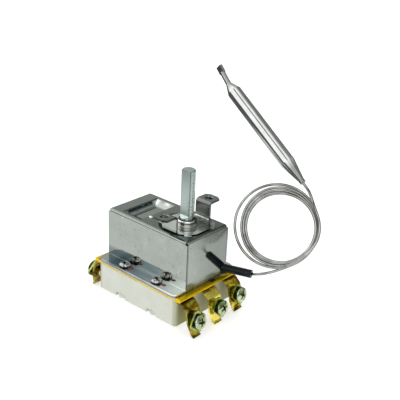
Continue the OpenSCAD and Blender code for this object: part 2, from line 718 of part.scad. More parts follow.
module terminal(k, right) color(brass) {
    y_in = k * pole_y;
    y_out = k * terminal_pitch;
    // The left terminals' inner ends turn down to the contact arms' heels
    heel_z = arm_top + heel_play + strip_t / 2;
    inner_path = right
        ? [[[contact_x - contact_d / 2 - 0.6, strip_z], 0]]
        : strip_path([-0.4 - heel_x, heel_z], 0,
                     [[0.6, 60, 0.8], [(strip_z - heel_z - 0.8) / sin(60), -60, 0.8]]);
    outer_path = strip_path([housing_l / 2, strip_z], 0, terminal_legs(k));
    difference() {
        union() {
            intersection() {
                mirror([right ? 0 : 1, 0, 0]) along_y(y_out - strip_w, y_out + strip_w)
                    polygon(strip_outline(concat(inner_path, outer_path), strip_t));
                mirror([right ? 0 : 1, 0, 0]) translate([0, 0, -ov])
                    linear_extrude(cover_z) strip_plan(y_out, y_in, housing_l);
                translate([-housing_l, 0, 0]) along_x(0, 2 * housing_l) strip_front(y_out);
            }
            // Collar drawn through the back of the strip for the screw's thread
            on_terminal(k, right) translate([0, 0, -strip_t - 1])
                cylinder(r = terminal_screw_d / 2 + 0.7, h = 1 + strip_t / 2);
        }
        on_terminal(k, right) translate([0, 0, -6]) cylinder(r = terminal_screw_d / 2 + hair, h = 8);
    }
}

// End view of a terminal: full width above, tapering to the narrow lip at its foot
module strip_front(y) {
    foot = strip_w * 0.22;
    side = strip_w / 2;
    polygon([[y - foot, -ov], [y + foot, -ov], [y + side, taper_z], [y + strip_w, taper_z],
             [y + strip_w, cover_z], [y - strip_w, cover_z], [y - strip_w, taper_z], [y - side, taper_z]]);
}

washer_turns = [-37, 45, 42];
washer_corner = 0.9;
function gap_at(k) = wire_gap + [0.1, 0.8, 0][k + 1];

module clamp_washer(k, right) color(iridescent) {
    on_terminal(k, right) translate([0, 0, gap_at(k)]) difference() {
        rotate(washer_turns[k + 1]) linear_extrude(washer_t) washer_plan();
        translate([0, 0, -ov]) cylinder(r = terminal_screw_d / 2 + slack, h = washer_t + 2 * ov);
    }
}

module washer_plan() {
    l = washer_side / 2;
    w = washer_wide / 2;
    c = washer_corner;
    polygon([[l - c, -w], [l, c - w], [l, w - c], [l - c, w], [c - l, w], [-l, w - c], [-l, c - w], [c - l, -w]]);
}

module terminal_screw(k, right) color(iridescent) {
    tail = 2.2;
    head_h = 2.8;
    on_terminal(k, right) {
        translate([0, 0, -strip_t - tail])
            cylinder(d = terminal_screw_d, h = strip_t + tail + gap_at(k) + washer_t);
        translate([0, 0, gap_at(k) + washer_t]) rotate(20 + 35 * k) difference() {
            pan_head(terminal_head_d, head_h);
            translate([0, 0, head_h]) cross_recess(3.6, 0.9, 1.4);
        }
    }
}

module fixed_contact(k) color(silver) {
    translate([contact_x, k * pole_y, strip_z - strip_t / 2 - contact_t])
        cylinder(d = contact_d, h = contact_t, $fn = 32);
}

module contact_arm(k) color(brass) {
    front = contact_x + contact_d / 2 + 0.4;
    back = heel_x - 2;
    translate([0, k * pole_y, arm_top - arm_t]) linear_extrude(arm_t) difference() {
        polygon([[back, -arm_w / 2], [push_x + 3, -arm_w / 2], [contact_x - 3, -arm_w / 2 + 0.2],
                 [front, -arm_w / 2 + 0.2], [front, arm_w / 2 - 0.2], [contact_x - 3, arm_w / 2 - 0.2],
                 [push_x + 3, arm_w / 2], [back, arm_w / 2]]);
        translate([heel_x + 2, -0.45]) square([6, 0.9]);
    }
}

module moving_contact(k) color(silver) {
    translate([contact_x, k * pole_y, arm_top]) cylinder(d = contact_d, h = contact_t, $fn = 32);
}

module push_bar() color(steatite) {
    translate([push_x, 0, 0]) {
        translate([-bar[0] / 2, -bar[1] / 2, bar_low]) cube(bar);
        translate([0, 0, bar_low]) cylinder(r = stem_r, h = stem_top - bar_low);
    }
}

module transfer_lever() color(dark_zinc) {
    left = push_x - 2.4;
    right = pin_x - 2.8;
    ear_y = lever_w / 2 - lever_ear[1];
    difference() {
        union() {
            translate([left, -lever_w / 2, lever_low]) cube([right - left, lever_w, lever_t]);
            for (s = [0, 1]) mirror([0, s, 0]) {
                translate([right - 4, ear_y, pin_z - lever_ear[0]])
                    cube([pin_x - right + 4, lever_ear[1], lever_top - pin_z + lever_ear[0]]);
                translate([pin_x, ear_y, pin_z]) rotate([-90, 0, 0])
                    cylinder(r = lever_ear[0], h = lever_ear[1]);
            }
            translate([push_x, 0, lever_low - dimple_h]) cylinder(r1 = 0.9, r2 = 1.3, h = dimple_h + hair);
        }
        translate([pin_x, -lever_w, pin_z]) rotate([-90, 0, 0]) cylinder(r = pin_r + hair, h = 2 * lever_w);
        translate([left + 6, -1.5, lever_low - ov]) cube([6, 3, lever_t + 2 * ov]);
    }
}

module lever_pin() color(zinc) {
    translate([pin_x, -frame_w / 2, pin_z]) rotate([-90, 0, 0]) cylinder(r = pin_r, h = frame_w);
}

// Two welded shells with a pressed ring, a back boss for the adjusting screw and a front button
module diaphragm_capsule() color(stainless) {
    r = capsule_r - capsule_rim[0];
    h = capsule_t / 2;
    rim = capsule_rim[1] / 2;
    translate([shaft_x, 0, capsule_mid]) difference() {
        union() {
            rotate_extrude($fn = 64) polygon([
                [0, -h - button_h], [button_r, -h - button_h], [button_r, -h], [r - 3, -h],
                [r - 2.5, -h + 0.3], [r - 1.5, -h + 0.3], [r - 1, -h], [r, -h], [r, -rim],
                [capsule_r, -rim], [capsule_r, rim], [r, rim], [r, h], [boss_r, h], [boss_r, h + boss_h],
                [0, h + boss_h]]);
            rotate(pigtail_turn) translate([capsule_r - 2.2, 0, 0]) rotate([0, 90, 0])
                cylinder(r = capillary_d / 2 + 0.5, h = 3.2);
        }
        rotate(pigtail_turn) translate([capsule_r - 1, 0, 0]) rotate([0, 90, 0])
            cylinder(r = capillary_d / 2 + 0.02, h = 2 + ov);
    }
}
pigtail_turn = 35;

module adjusting_screw() color(brass) {
    translate([shaft_x, 0, 0]) difference() {
        union() {
            translate([0, 0, set_low]) cylinder(r = set_r, h = set_l);
            translate([0, 0, set_low - nose_l]) cylinder(r = nose_r, h = nose_l + hair);
        }
        translate([-set_r - ov, -tongue[1] / 2 - hair, set_top - slot_deep])
            cube([2 * (set_r + ov), tongue[1] + 2 * hair, slot_deep + ov]);
    }
}

module threaded_bridge() color(zinc) {
    difference() {
        union() {
            translate([shaft_x - bridge_half_l, -frame_in + slack, bridge_z])
                cube([2 * bridge_half_l, 2 * (frame_in - slack), bridge_t]);
            translate([shaft_x - bridge_tab_w / 2, -frame_w / 2, bridge_z])
                cube([bridge_tab_w, frame_w, bridge_t]);
            translate([shaft_x, 0, bridge_z]) cylinder(r = collar_r, h = bridge_t + bridge_collar_h);
        }
        translate([shaft_x, 0, bridge_z - ov])
            cylinder(r = set_r + hair, h = bridge_t + bridge_collar_h + 2 * ov);
    }
}

sleeve_start = sleeve_exit - sleeve_in * sleeve_way;
sleeve_end = sleeve_exit + sleeve_out * sleeve_way;

module capillary_sleeve() color(black) {
    translate(sleeve_start) rotate([0, 90, sleeve_turn]) difference() {
        cylinder(d = sleeve_d, h = sleeve_in + sleeve_out);
        translate([0, 0, -ov]) cylinder(d = sleeve_bore, h = sleeve_in + sleeve_out + 2 * ov);
    }
}

coil_axis = [sin(coil_aim[0]) * cos(coil_aim[1]), -cos(coil_aim[0]) * cos(coil_aim[1]), sin(coil_aim[1])];
coil_side = [cos(coil_aim[0]), sin(coil_aim[0]), 0];
coil_up = cross(coil_axis, coil_side);
function on_coil(a) = coil_centre + coil_r * (cos(a) * coil_side + sin(a) * coil_up);
function coil_way(a) = -sin(a) * coil_side + cos(a) * coil_up;

module capillary_lead() color(stainless) {
    run = curve(sleeve_end, 6 * sleeve_way, on_coil(-66), 6 * coil_way(-66), 8);
    difference() {
        swept_tube(concat([sleeve_start], run), capillary_d);
        coil_ring(hair);
    }
}

module capillary_coil() color(stainless) {
    coil_ring(0);
}

module coil_ring(grow) {
    translate(coil_centre) rotate([90 - coil_aim[1], 0, coil_aim[0]]) rotate_extrude($fn = 64)
        translate([coil_r, 0])
            plan_rect(coil_section[0] + 2 * grow, coil_section[1] + 2 * grow, coil_round + grow);
}

bulb_way = [sin(bulb_lean[0]) * cos(bulb_lean[1]), sin(bulb_lean[0]) * sin(bulb_lean[1]), cos(bulb_lean[0])];

module capillary_tail() color(stainless) {
    run = curve(on_coil(32), 8 * coil_way(32), bulb_neck - hair * bulb_way, 8 * bulb_way, 8);
    difference() {
        swept_tube(run, capillary_d);
        coil_ring(hair);
    }
}

module sensing_bulb() color(stainless) {
    r = bulb_d / 2;
    z1 = neck_l_bulb;
    z2 = z1 + low_cone;
    z3 = z2 + bulb_l;
    z4 = z3 + high_cone;
    translate(bulb_neck) rotate([0, bulb_lean[0], bulb_lean[1]]) {
        rotate_extrude() polygon([[0, 0], [neck_d / 2, 0], [neck_d / 2, z1], [r, z2], [r, z3],
                                  [stem_d / 2, z4], [0, z4]]);
        translate([0, 0, z4 - 0.4]) rotate([0, -stem_bend, 0]) {
            cylinder(d = stem_d, h = stem_l - crimp_l);
            translate([-crimp_w / 2, -crimp_t / 2, stem_l - crimp_l - 0.5])
                cube([crimp_w, crimp_t, crimp_l + 0.5]);
        }
    }
}

module capillary_pigtail() color(stainless) {
    way = [cos(pigtail_turn), sin(pigtail_turn), 0];
    from = [shaft_x, 0, capsule_mid] + (capsule_r - 0.9) * way;
    run = curve(from + 2 * way, 3.6 * way, sleeve_start - slack * sleeve_way, 3.6 * sleeve_way, 9);
    swept_tube(concat([from], run), capillary_d);
}

housing_cover();
inner_frame();
insulating_sheet();
base_plate();
ceramic_base();
mounting_bracket();
shaft_bush();
retaining_clip();
control_shaft();
top_rivet();
cover_screw(1);  // cover_screw_1
cover_screw(2);  // cover_screw_2
cover_screw(3);  // cover_screw_3
cover_screw(4);  // cover_screw_4
cover_nut(1);  // cover_nut_1
cover_nut(2);  // cover_nut_2
cover_nut(3);  // cover_nut_3
cover_nut(4);  // cover_nut_4
terminal(-1, true);  // terminal_r1
terminal(0, true);  // terminal_r2
terminal(1, true);  // terminal_r3
terminal(-1, false);  // terminal_l1
terminal(0, false);  // terminal_l2
terminal(1, false);  // terminal_l3
clamp_washer(-1, true);  // clamp_washer_r1
clamp_washer(0, true);  // clamp_washer_r2
clamp_washer(1, true);  // clamp_washer_r3
clamp_washer(-1, false);  // clamp_washer_l1
clamp_washer(0, false);  // clamp_washer_l2
clamp_washer(1, false);  // clamp_washer_l3
terminal_screw(-1, true);  // terminal_screw_r1
terminal_screw(0, true);  // terminal_screw_r2
terminal_screw(1, true);  // terminal_screw_r3
terminal_screw(-1, false);  // terminal_screw_l1
terminal_screw(0, false);  // terminal_screw_l2
terminal_screw(1, false);  // terminal_screw_l3
fixed_contact(-1);  // fixed_contact_1
fixed_contact(0);  // fixed_contact_2
fixed_contact(1);  // fixed_contact_3
contact_arm(-1);  // contact_arm_1
contact_arm(0);  // contact_arm_2
contact_arm(1);  // contact_arm_3
moving_contact(-1);  // moving_contact_1
moving_contact(0);  // moving_contact_2
moving_contact(1);  // moving_contact_3
push_bar();
transfer_lever();
lever_pin();
diaphragm_capsule();
adjusting_screw();
threaded_bridge();
capillary_pigtail();
capillary_sleeve();
capillary_lead();
capillary_coil();
capillary_tail();
sensing_bulb();
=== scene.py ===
# Capillary thermostat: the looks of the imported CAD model, piece by piece, in the order in which it goes
# together. Blender's units are metres; the sizes here are written in millimetres, in the CAD's frame: +Z
# runs along the shaft and the part stands on z = 0.
import math

import bpy
from mathutils import Matrix, Vector, noise as lumps


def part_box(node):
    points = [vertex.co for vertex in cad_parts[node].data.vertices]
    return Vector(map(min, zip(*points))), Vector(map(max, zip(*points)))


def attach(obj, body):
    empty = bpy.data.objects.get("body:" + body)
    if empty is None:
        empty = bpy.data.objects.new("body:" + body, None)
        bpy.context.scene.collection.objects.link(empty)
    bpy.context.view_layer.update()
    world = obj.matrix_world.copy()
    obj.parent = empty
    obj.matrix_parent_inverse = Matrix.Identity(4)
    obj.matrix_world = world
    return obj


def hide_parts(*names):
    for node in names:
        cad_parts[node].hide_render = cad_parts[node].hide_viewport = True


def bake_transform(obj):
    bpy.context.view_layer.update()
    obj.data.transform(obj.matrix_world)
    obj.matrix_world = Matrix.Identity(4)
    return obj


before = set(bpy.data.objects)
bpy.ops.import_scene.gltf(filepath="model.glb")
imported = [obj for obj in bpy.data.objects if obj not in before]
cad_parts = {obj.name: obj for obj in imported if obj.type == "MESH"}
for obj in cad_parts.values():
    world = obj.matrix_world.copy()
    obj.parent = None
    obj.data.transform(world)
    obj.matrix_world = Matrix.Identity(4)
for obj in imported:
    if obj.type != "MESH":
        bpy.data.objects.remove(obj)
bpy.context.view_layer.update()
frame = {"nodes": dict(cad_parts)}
nodes = frame["nodes"]
scene = bpy.context.scene

# Camera
# A plain perspective camera, fitted to the photograph from the shaft, the ears and the housing's corners.
# Its place is in metres, and its focal length in pixels of the photograph.
MM = 0.001
PHOTO_PIXELS, FOCAL_PIXELS, FILM_MM = 400, 746.2, 36


def link(obj):
    """Puts a new object into the scene."""
    scene.collection.objects.link(obj)
    return obj


cam = bpy.data.cameras.new("camera")
cam.sensor_width = FILM_MM
cam.lens = FOCAL_PIXELS / PHOTO_PIXELS * FILM_MM
cam.clip_start = 0.01
eye = Vector((0.20274, -0.2152, 0.178028))
fwd = Vector((-0.59683394, 0.69580581, -0.39955415))
side = Vector((0.7457, 0.6648, 0.0437))
up = side.cross(fwd).normalized()
side = fwd.cross(up).normalized()
cam_obj = link(bpy.data.objects.new("camera", cam))
cam_obj.matrix_world = Matrix(((side.x, up.x, -fwd.x, eye.x), (side.y, up.y, -fwd.y, eye.y),
                               (side.z, up.z, -fwd.z, eye.z), (0, 0, 0, 1)))
scene.camera = cam_obj

# Capillary
# One bright steel capillary, 1.2 mm thick, drawn and annealed: out of the sleeve, four and a quarter loose
# turns that were wound by hand, and up to the bulb's neck, where it is brazed in.
cos, sin, rad = math.cos, math.sin, math.radians


def mm(*xyz):
    """A place in millimetres, in Blender's metres."""
    return Vector(xyz) * MM


def bezier(start, start_pull, end, end_pull, steps):
    """Points on a curve that leaves start along start_pull and comes into end along end_pull."""
    c0, c1 = start + start_pull, end - end_pull
    return [(1 - t) ** 3 * start + 3 * (1 - t) ** 2 * t * c0 + 3 * (1 - t) * t * t * c1 + t ** 3 * end
            for t in (i / steps for i in range(steps + 1))]


capillary_d = 1.2
# the sleeve that it leaves: the sleeve's corner of the
# housing, its way out, and its lengths inside and outside
sleeve_angle, sleeve_in, sleeve_out = rad(19.6), 3, 13
sleeve_way = Vector((cos(sleeve_angle), sin(sleeve_angle), 0))
sleeve_exit = mm(23.8, 11.4, 20.508)
sleeve_start = sleeve_exit - sleeve_in * MM * sleeve_way
sleeve_end = sleeve_exit + sleeve_out * MM * sleeve_way
# the coil's middle and its axis, which points at the front and a little up
coil_mid = mm(40.4, 25.8, 41.8)
coil_heading, coil_rise = rad(37), rad(24)
coil_axis = Vector((sin(coil_heading) * cos(coil_rise), -cos(coil_heading) * cos(coil_rise), sin(coil_rise)))
coil_side = Vector((cos(coil_heading), sin(coil_heading), 0))
coil_up = coil_axis.cross(coil_side)
# the bulb that it ends in: its neck, and the way that it leans
lean, lean_to = rad(56.7), rad(173.4)
bulb_way = Vector((sin(lean) * cos(lean_to), sin(lean) * sin(lean_to), cos(lean)))
bulb_neck = mm(46.6, 32.5, 61.8)
# the strand: degrees round the coil, and the distance from its middle there
STRAND = [(-66, 17.9), (0, 17.7), (90, 17.9), (180, 18.3), (270, 17.9), (360, 17.2), (450, 16.5), (540, 15.4),
          (630, 16.8), (720, 16.6), (810, 15.2), (900, 14.5), (990, 15.6), (1080, 16.1), (1170, 14.0),
          (1260, 13.5), (1350, 15.2), (1425, 17.6), (1464, 17.3)]
FIRST_ANGLE, WHOLE_ANGLE, TURN_STEPS, COIL_DEPTH = -66, 1530, 450, 4.4


def strand_radius(angle):
    """Smooth radius between the listed places: a cubic that takes its slopes from their neighbours."""
    last = len(STRAND) - 1
    at = max(k for k in range(last) if STRAND[k][0] <= angle or k == 0)
    before, here, there, after = (STRAND[max(0, min(last, k))] for k in (at - 1, at, at + 1, at + 2))
    width = there[0] - here[0]
    t = (angle - here[0]) / width
    slope_here = (there[1] - before[1]) / max(1, there[0] - before[0]) * width
    slope_there = (after[1] - here[1]) / max(1, after[0] - here[0]) * width
    return ((2 * t ** 3 - 3 * t * t + 1) * here[1] + (t ** 3 - 2 * t * t + t) * slope_here
            + (3 * t * t - 2 * t ** 3) * there[1] + (t ** 3 - t * t) * slope_there)


def on_turn(angle):
    """The strand's place at an angle: the turns lie side by side over the coil's depth."""
    radius = strand_radius(angle) * MM
    height = (-COIL_DEPTH / 2 + COIL_DEPTH * (angle - FIRST_ANGLE) / WHOLE_ANGLE) * MM
    return coil_mid + radius * (cos(rad(angle)) * coil_side + sin(rad(angle)) * coil_up) + height * coil_axis


turns = [on_turn(FIRST_ANGLE + WHOLE_ANGLE * i / TURN_STEPS) for i in range(TURN_STEPS + 1)]
start_way = (turns[1] - turns[0]).normalized()
end_way = (turns[-1] - turns[-2]).normalized()
# the two runs, and how far their ends pull them straight
sleeve_pull, coil_pull, neck_pull = mm(6.4, -0.6, 2.5), 9 * MM, 7 * MM
in_sleeve = sleeve_start + 8 * MM * sleeve_way
in_neck = bulb_neck + 0.8 * MM * bulb_way
lead_run = bezier(sleeve_end, sleeve_pull, turns[0], coil_pull * start_way, 10)
tail_run = bezier(turns[-1], coil_pull * end_way, in_neck, neck_pull * bulb_way, 12)
route = [sleeve_start, in_sleeve] + lead_run[:-1] + turns + tail_run[1:]
curve = bpy.data.curves.new("capillary", "CURVE")
curve.dimensions = "3D"
curve.bevel_depth = 1
curve.bevel_resolution = 5
curve.use_fill_caps = True
spline = curve.splines.new("POLY")
spline.points.add(len(route) - 1)
for point, co in zip(spline.points, route):
    point.co = (*co, 1)
    point.radius = capillary_d / 2 * MM
spline.use_smooth = True
capillary = link(bpy.data.objects.new("capillary", curve))
cord_length = sum((b - a).length for a, b in zip(route, route[1:]))
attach(capillary, "housing")
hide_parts("capillary_lead", "capillary_coil", "capillary_tail")


def maths(how, swapped=False):
    """The operator that adds one Math node."""
    def work(a, b=0.0):
        pair = (b, a) if swapped else (a, b)
        return a.nodes.add("ShaderNodeMath", {"operation": how}, dict(enumerate(pair)))
    return work


class Value:
    """A number that a node gives out. Arithmetic on it adds Math nodes; | is the larger, & the smaller."""
    __add__ = __radd__ = maths("ADD")
    __mul__ = __rmul__ = maths("MULTIPLY")
    __sub__, __rsub__ = maths("SUBTRACT"), maths("SUBTRACT", True)
    __truediv__, __rtruediv__ = maths("DIVIDE"), maths("DIVIDE", True)
    __mod__ = maths("FLOORED_MODULO")
    __or__, __and__ = maths("MAXIMUM"), maths("MINIMUM")
    __gt__, __lt__ = maths("GREATER_THAN"), maths("LESS_THAN")
    __abs__, sine, cosine, root = maths("ABSOLUTE"), maths("SINE"), maths("COSINE"), maths("SQRT")

    def __init__(self, nodes, socket):
        self.nodes, self.socket = nodes, socket

    def span(self, start, end, low=0.0, high=1.0, soft=False):
        """Goes from low to high as the value goes from start to end, and stays there."""
        how = "SMOOTHSTEP" if soft else "LINEAR"
        return self.nodes.add("ShaderNodeMapRange", {"interpolation_type": how},
                              {"Value": self, "From Min": start, "From Max": end,
                               "To Min": low, "To Max": high})

    def within(self, low, high, soft):
        """1 where the value lies between low and high, with soft edges."""
        return self.span(low - soft, low) * self.span(high, high + soft, 1.0, 0.0)

    def spread(self, low, high):
        """Goes from low to high over the range that most of a noise lies in."""
        return self.span(0.3, 0.7, low, high)

    def ramp(self, *stops):
        """The colour that belongs to the value, from stops of a place and a colour each."""
        return self.nodes.add("ShaderNodeValToRGB", {"stops": stops}, {"Fac": self})


class Nodes:
    """A node tree, and the one way in which nodes are added to it."""

    def __init__(self, tree):
        self.tree = tree

    def add(self, kind, settings=None, inputs=None, out=0):
        """A node of a kind: its settings are set first, then its inputs, which are plain values or links."""
        node = self.tree.nodes.new(kind)
        for key, value in (settings or {}).items():
            if key == "stops":
                marks = node.color_ramp.elements
                while len(marks) < len(value):
                    marks.new(0.5)
                for mark, (place, color) in zip(marks, value):
                    mark.position = place
                    mark.color = (*color, 1)
            else:
                setattr(node, key, value)
        for key, value in (inputs or {}).items():
            socket = node.inputs[key]
            if isinstance(value, Value):
                self.tree.links.new(value.socket, socket)
            else:
                socket.default_value = (*value, 1) if socket.type == "RGBA" else value
        return Value(self, node.outputs[out]) if node.outputs else None

    def tint(self, amount, under, over):
        """Mixes two colours."""
        return self.add("ShaderNodeMix", {"data_type": "RGBA"}, {0: amount, 6: under, 7: over}, 2)

    def dot(self, place, direction):
        """How far a place or a direction lies along another."""
        return self.add("ShaderNodeVectorMath", {"operation": "DOT_PRODUCT"},
                        {0: place, 1: direction}, "Value")


class Finish(Nodes):
    """One material: a Principled surface, with noise and masks in Object coordinates, in millimetres."""

    def __init__(self, name, color, rough, metal=0.0, **sockets):
        self.mat = bpy.data.materials.new(name)
        self.mat.use_nodes = True
        super().__init__(self.mat.node_tree)
        self.surface = self.tree.nodes["Principled BSDF"]
        sockets.update({"Base Color": (*color, 1), "Roughness": rough, "Metallic": metal})
        for key, value in sockets.items():
            self.surface.inputs[key.replace("_", " ")].default_value = value
        self.place = self.add("ShaderNodeTexCoord", out="Object")

    def along(self, axis):
        """The place along one axis, in millimetres."""
        return self.add("ShaderNodeSeparateXYZ", None, {0: self.place}, axis) * 1000

    x = property(lambda self: self.along("X"))
    y = property(lambda self: self.along("Y"))
    z = property(lambda self: self.along("Z"))

    def noise(self, scale, detail=3.0, rough=0.55, stretch=(1, 1, 1), turn=(0, 0, 0), distort=0.0):
        """Cloudy noise, with scale lumps in a metre."""
        place = self.add("ShaderNodeMapping", None,
                         {"Vector": self.place, "Scale": stretch, "Rotation": turn})
        return self.add("ShaderNodeTexNoise", None, {"Vector": place, "Scale": scale, "Detail": detail,
                                                     "Roughness": rough, "Distortion": distort})

    def near(self, spot, close, far, flat=False):
        """1 within close of a spot, 0 beyond far; flat leaves the height out."""
        place = self.place
        if flat:
            place = self.add("ShaderNodeVectorMath", {"operation": "MULTIPLY"}, {0: place, 1: (1, 1, 0)})
        reach = self.add("ShaderNodeVectorMath", {"operation": "DISTANCE"}, {0: place, 1: mm(*spot)}, "Value")
        return (reach * 1000).span(close, far, 1.0, 0.0)

    def feed(self, socket, value):
        self.tree.links.new(value.socket, self.surface.inputs[socket])

    def color(self, value):
        self.feed("Base Color", value)

    def rough(self, value):
        self.feed("Roughness", value)

    def relief(self, height, strength=0.3, depth=0.05, edge=0.0):
        """A fine bump of a depth; edge rounds the piece's corners by that radius."""
        inputs = {"Strength": strength, "Distance": depth * MM, "Height": height}
        if edge:
            inputs["Normal"] = self.add("ShaderNodeBevel", {"samples": 6}, {"Radius": edge * MM})
        self.feed("Normal", self.add("ShaderNodeBump", None, inputs))

    def clouded(self, scale, detail, stops, *relief):
        """Takes the colour and the relief from one cloudy noise, and gives that noise."""
        cloud = self.noise(scale, detail)
        self.color(cloud.ramp(*stops))
        self.relief(cloud, *relief)
        return cloud


def dress(finish, *names):
    """Gives CAD nodes a finish: only their material slots change."""
    for name in names:
        slots = nodes[name].data.materials
        slots.clear()
        slots.append(finish.mat)


def wear(piece, finish):
    """Gives a new piece its finish."""
    piece.data.materials.append(finish.mat)
    return piece


tube = Finish("drawn_capillary", (0.5, 0.5, 0.48), 0.08, 1.0)
cloud = tube.noise(190, 3, 0.5)
tube.color(cloud.ramp((0.35, (0.26, 0.265, 0.255)), (0.65, (0.44, 0.445, 0.43))))
tube.rough(cloud.spread(0.05, 0.11))
tube.relief(tube.noise(1500, 3), 0.05, 0.02)
wear(capillary, tube)

# Sleeve
# A glossy black tube with a blue cast, slightly wavy along its length.
# It is slipped over the capillary before the housing is closed, and the
# cover's cut corner holds it, so that the capillary doesn't chafe there.
black = Finish("black_sleeve", (0.005, 0.008, 0.010), 0.18, Specular_IOR_Level=0.18)
wave = black.clouded(420, 2, ((0.3, (0.002, 0.005, 0.006)), (0.7, (0.006, 0.013, 0.015))), 0.3, 0.1, 0.25)
black.rough(wave.spread(0.10, 0.20))
dress(black, "capillary_sleeve")

# Bulb and capsule
# The bulb and the capsule's shells are drawn stainless steel: a mirror
# with the faintest scratches. The bulb's crimped stem and its lower cone
# are painted darker, and the stem is duller.
steel = Finish("drawn_stainless", (0.66, 0.67, 0.66), 0.07, 1.0)
cloud = steel.noise(220, 4)
stem_place, cone_place = bulb_neck / MM + 62 * bulb_way, bulb_neck / MM + 4 * bulb_way
stem, cone = steel.near(stem_place, 6.5, 8.5), steel.near(cone_place, 4.0, 8.0)
tone = cloud.ramp((0.3, (0.58, 0.59, 0.58)), (0.7, (0.72, 0.73, 0.72)))
tone = steel.tint(stem * 0.85, tone, (0.34, 0.35, 0.34))
tone = steel.tint(cone * 0.8, tone, (0.20, 0.205, 0.20))
steel.color(tone)
steel.rough(cloud.spread(0.05, 0.14) + stem * 0.1)
steel.relief(steel.noise(1500, 3), 0.06, 0.02, 0.15)
dress(steel, "sensing_bulb", "diaphragm_capsule")

# Pigtail
# The capillary's inner run, of the same drawn steel, brazed into the capsule's
# socket and led into the sleeve.
def sized_tree(name, **sizes):
    """A Geometry Nodes tree with named inputs, and the values that they give."""
    tree = bpy.data.node_groups.new(name, "GeometryNodeTree")
    tree.interface.new_socket("Geometry", in_out="OUTPUT", socket_type="NodeSocketGeometry")
    for key, kind in sizes.items():
        tree.interface.new_socket(key, in_out="INPUT", socket_type="NodeSocket" + kind)
    made = Nodes(tree)
    entry = tree.nodes.new("NodeGroupInput")
    return made, {key: Value(made, entry.outputs[key]) for key in sizes}


def close_tree(made, shape, *finishes):
    """Ends a tree in Realize Instances and one Set Material for each finish and the faces that it covers."""
    smooth = made.add("GeometryNodeSetShadeSmooth", None, {"Geometry": shape})
    shape = made.add("GeometryNodeRealizeInstances", None, {"Geometry": smooth})
    for finish, faces in finishes:
        shape = made.add("GeometryNodeSetMaterial", None,
                         {"Geometry": shape, "Selection": faces, "Material": finish})
    made.add("NodeGroupOutput", None, {"Geometry": shape})


def grow(name, made, base, **sizes):
    """Runs a tree on a mesh with the sizes given, and keeps the result as a plain mesh."""
    grown = link(bpy.data.objects.new(name + "_grown", base))
    modifier = grown.modifiers.new("sizes", "NODES")
    modifier.node_group = made.tree
    for item in made.tree.interface.items_tree:
        if item.in_out == "INPUT" and item.name in sizes:
            modifier[item.identifier] = sizes[item.name]
    bpy.context.view_layer.update()
    depsgraph = bpy.context.evaluated_depsgraph_get()
    mesh = bpy.data.meshes.new_from_object(grown.evaluated_get(depsgraph), depsgraph=depsgraph)
    mesh.name = name
    bpy.data.objects.remove(grown)
    return link(bpy.data.objects.new(name, mesh))


tube_tree, size = sized_tree("bent_tube", Path="Geometry", Thickness="Float", Metal="Material")
ring = tube_tree.add("GeometryNodeCurvePrimitiveCircle", None,
                     {"Resolution": 20, "Radius": size["Thickness"] / 2})
path = tube_tree.add("GeometryNodeMeshToCurve", None, {"Mesh": size["Path"]})
swept_tube = tube_tree.add("GeometryNodeCurveToMesh", None,
                           {"Curve": path, "Profile Curve": ring, "Fill Caps": True})
close_tree(tube_tree, swept_tube, (size["Metal"], True))
# out of the capsule's socket, 2 mm straight on, and round into the sleeve
shaft_x = 11.3
socket_angle, socket_reach, bend_pull, bend_steps = rad(35), 8.5 * MM, 3.6 * MM, 30
socket_way = Vector((cos(socket_angle), sin(socket_angle), 0))
socket_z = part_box("capillary_pigtail")[1][2] / MM - capillary_d / 2
socket = mm(shaft_x, 0, socket_z) + socket_reach * socket_way
bend = [socket] + bezier(socket + 2 * MM * socket_way, bend_pull * socket_way,
                         sleeve_start - 0.1 * MM * sleeve_way, bend_pull * sleeve_way, bend_steps)
bend_mesh = bpy.data.meshes.new("bend")
bend_mesh.from_pydata(bend, [(i, i + 1) for i in range(len(bend) - 1)], [])
pigtail = grow("pigtail", tube_tree, bend_mesh, Thickness=capillary_d * MM, Metal=steel.mat)
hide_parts("capillary_pigtail")
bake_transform(pigtail)

# Housing cover
# The cover is rolled sheet, zinc plated almost to a mirror: a faint stretch
# along X, small dark stains, dull patches. It is folded at the corners, seamed
# at the upright ones, and pressed for the recess. Its flanges are screwed down.
cover = Finish("cover_zinc", (0.42, 0.45, 0.42), 0.1, 1.0)
cloud = cover.noise(140, 4)
grain = cover.noise(900, 3, stretch=(0.15, 1, 1))
tone = cloud.ramp((0.25, (0.38, 0.41, 0.385)), (0.55, (0.43, 0.46, 0.43)), (0.8, (0.46, 0.49, 0.46)))
stain = cover.noise(420, 5, 0.62).span(0.61, 0.76, 0.0, 0.6)
tone = cover.tint(stain, tone, (0.16, 0.19, 0.17))
wiped = cover.noise(260, 5, 0.66).span(0.58, 0.74, 0.0, 0.45)
tone = cover.tint(wiped, tone, (0.60, 0.63, 0.59))
# the top is duller, rolled and finely grained, with painted shade that darkens it towards its right corner
top = cover.z.span(40.4, 40.9)
rolled = cover.noise(1100, 5, 0.7, stretch=(0.5, 1, 1)).span(0.30, 0.62, 0.25, 1.0)
tone = cover.tint(top * rolled, tone, (0.30, 0.315, 0.30))
shade_to_corner = cover.x.span(-24, 24, 0.30, 0.95)
tone = cover.tint(top * shade_to_corner, tone, (0.115, 0.125, 0.118))
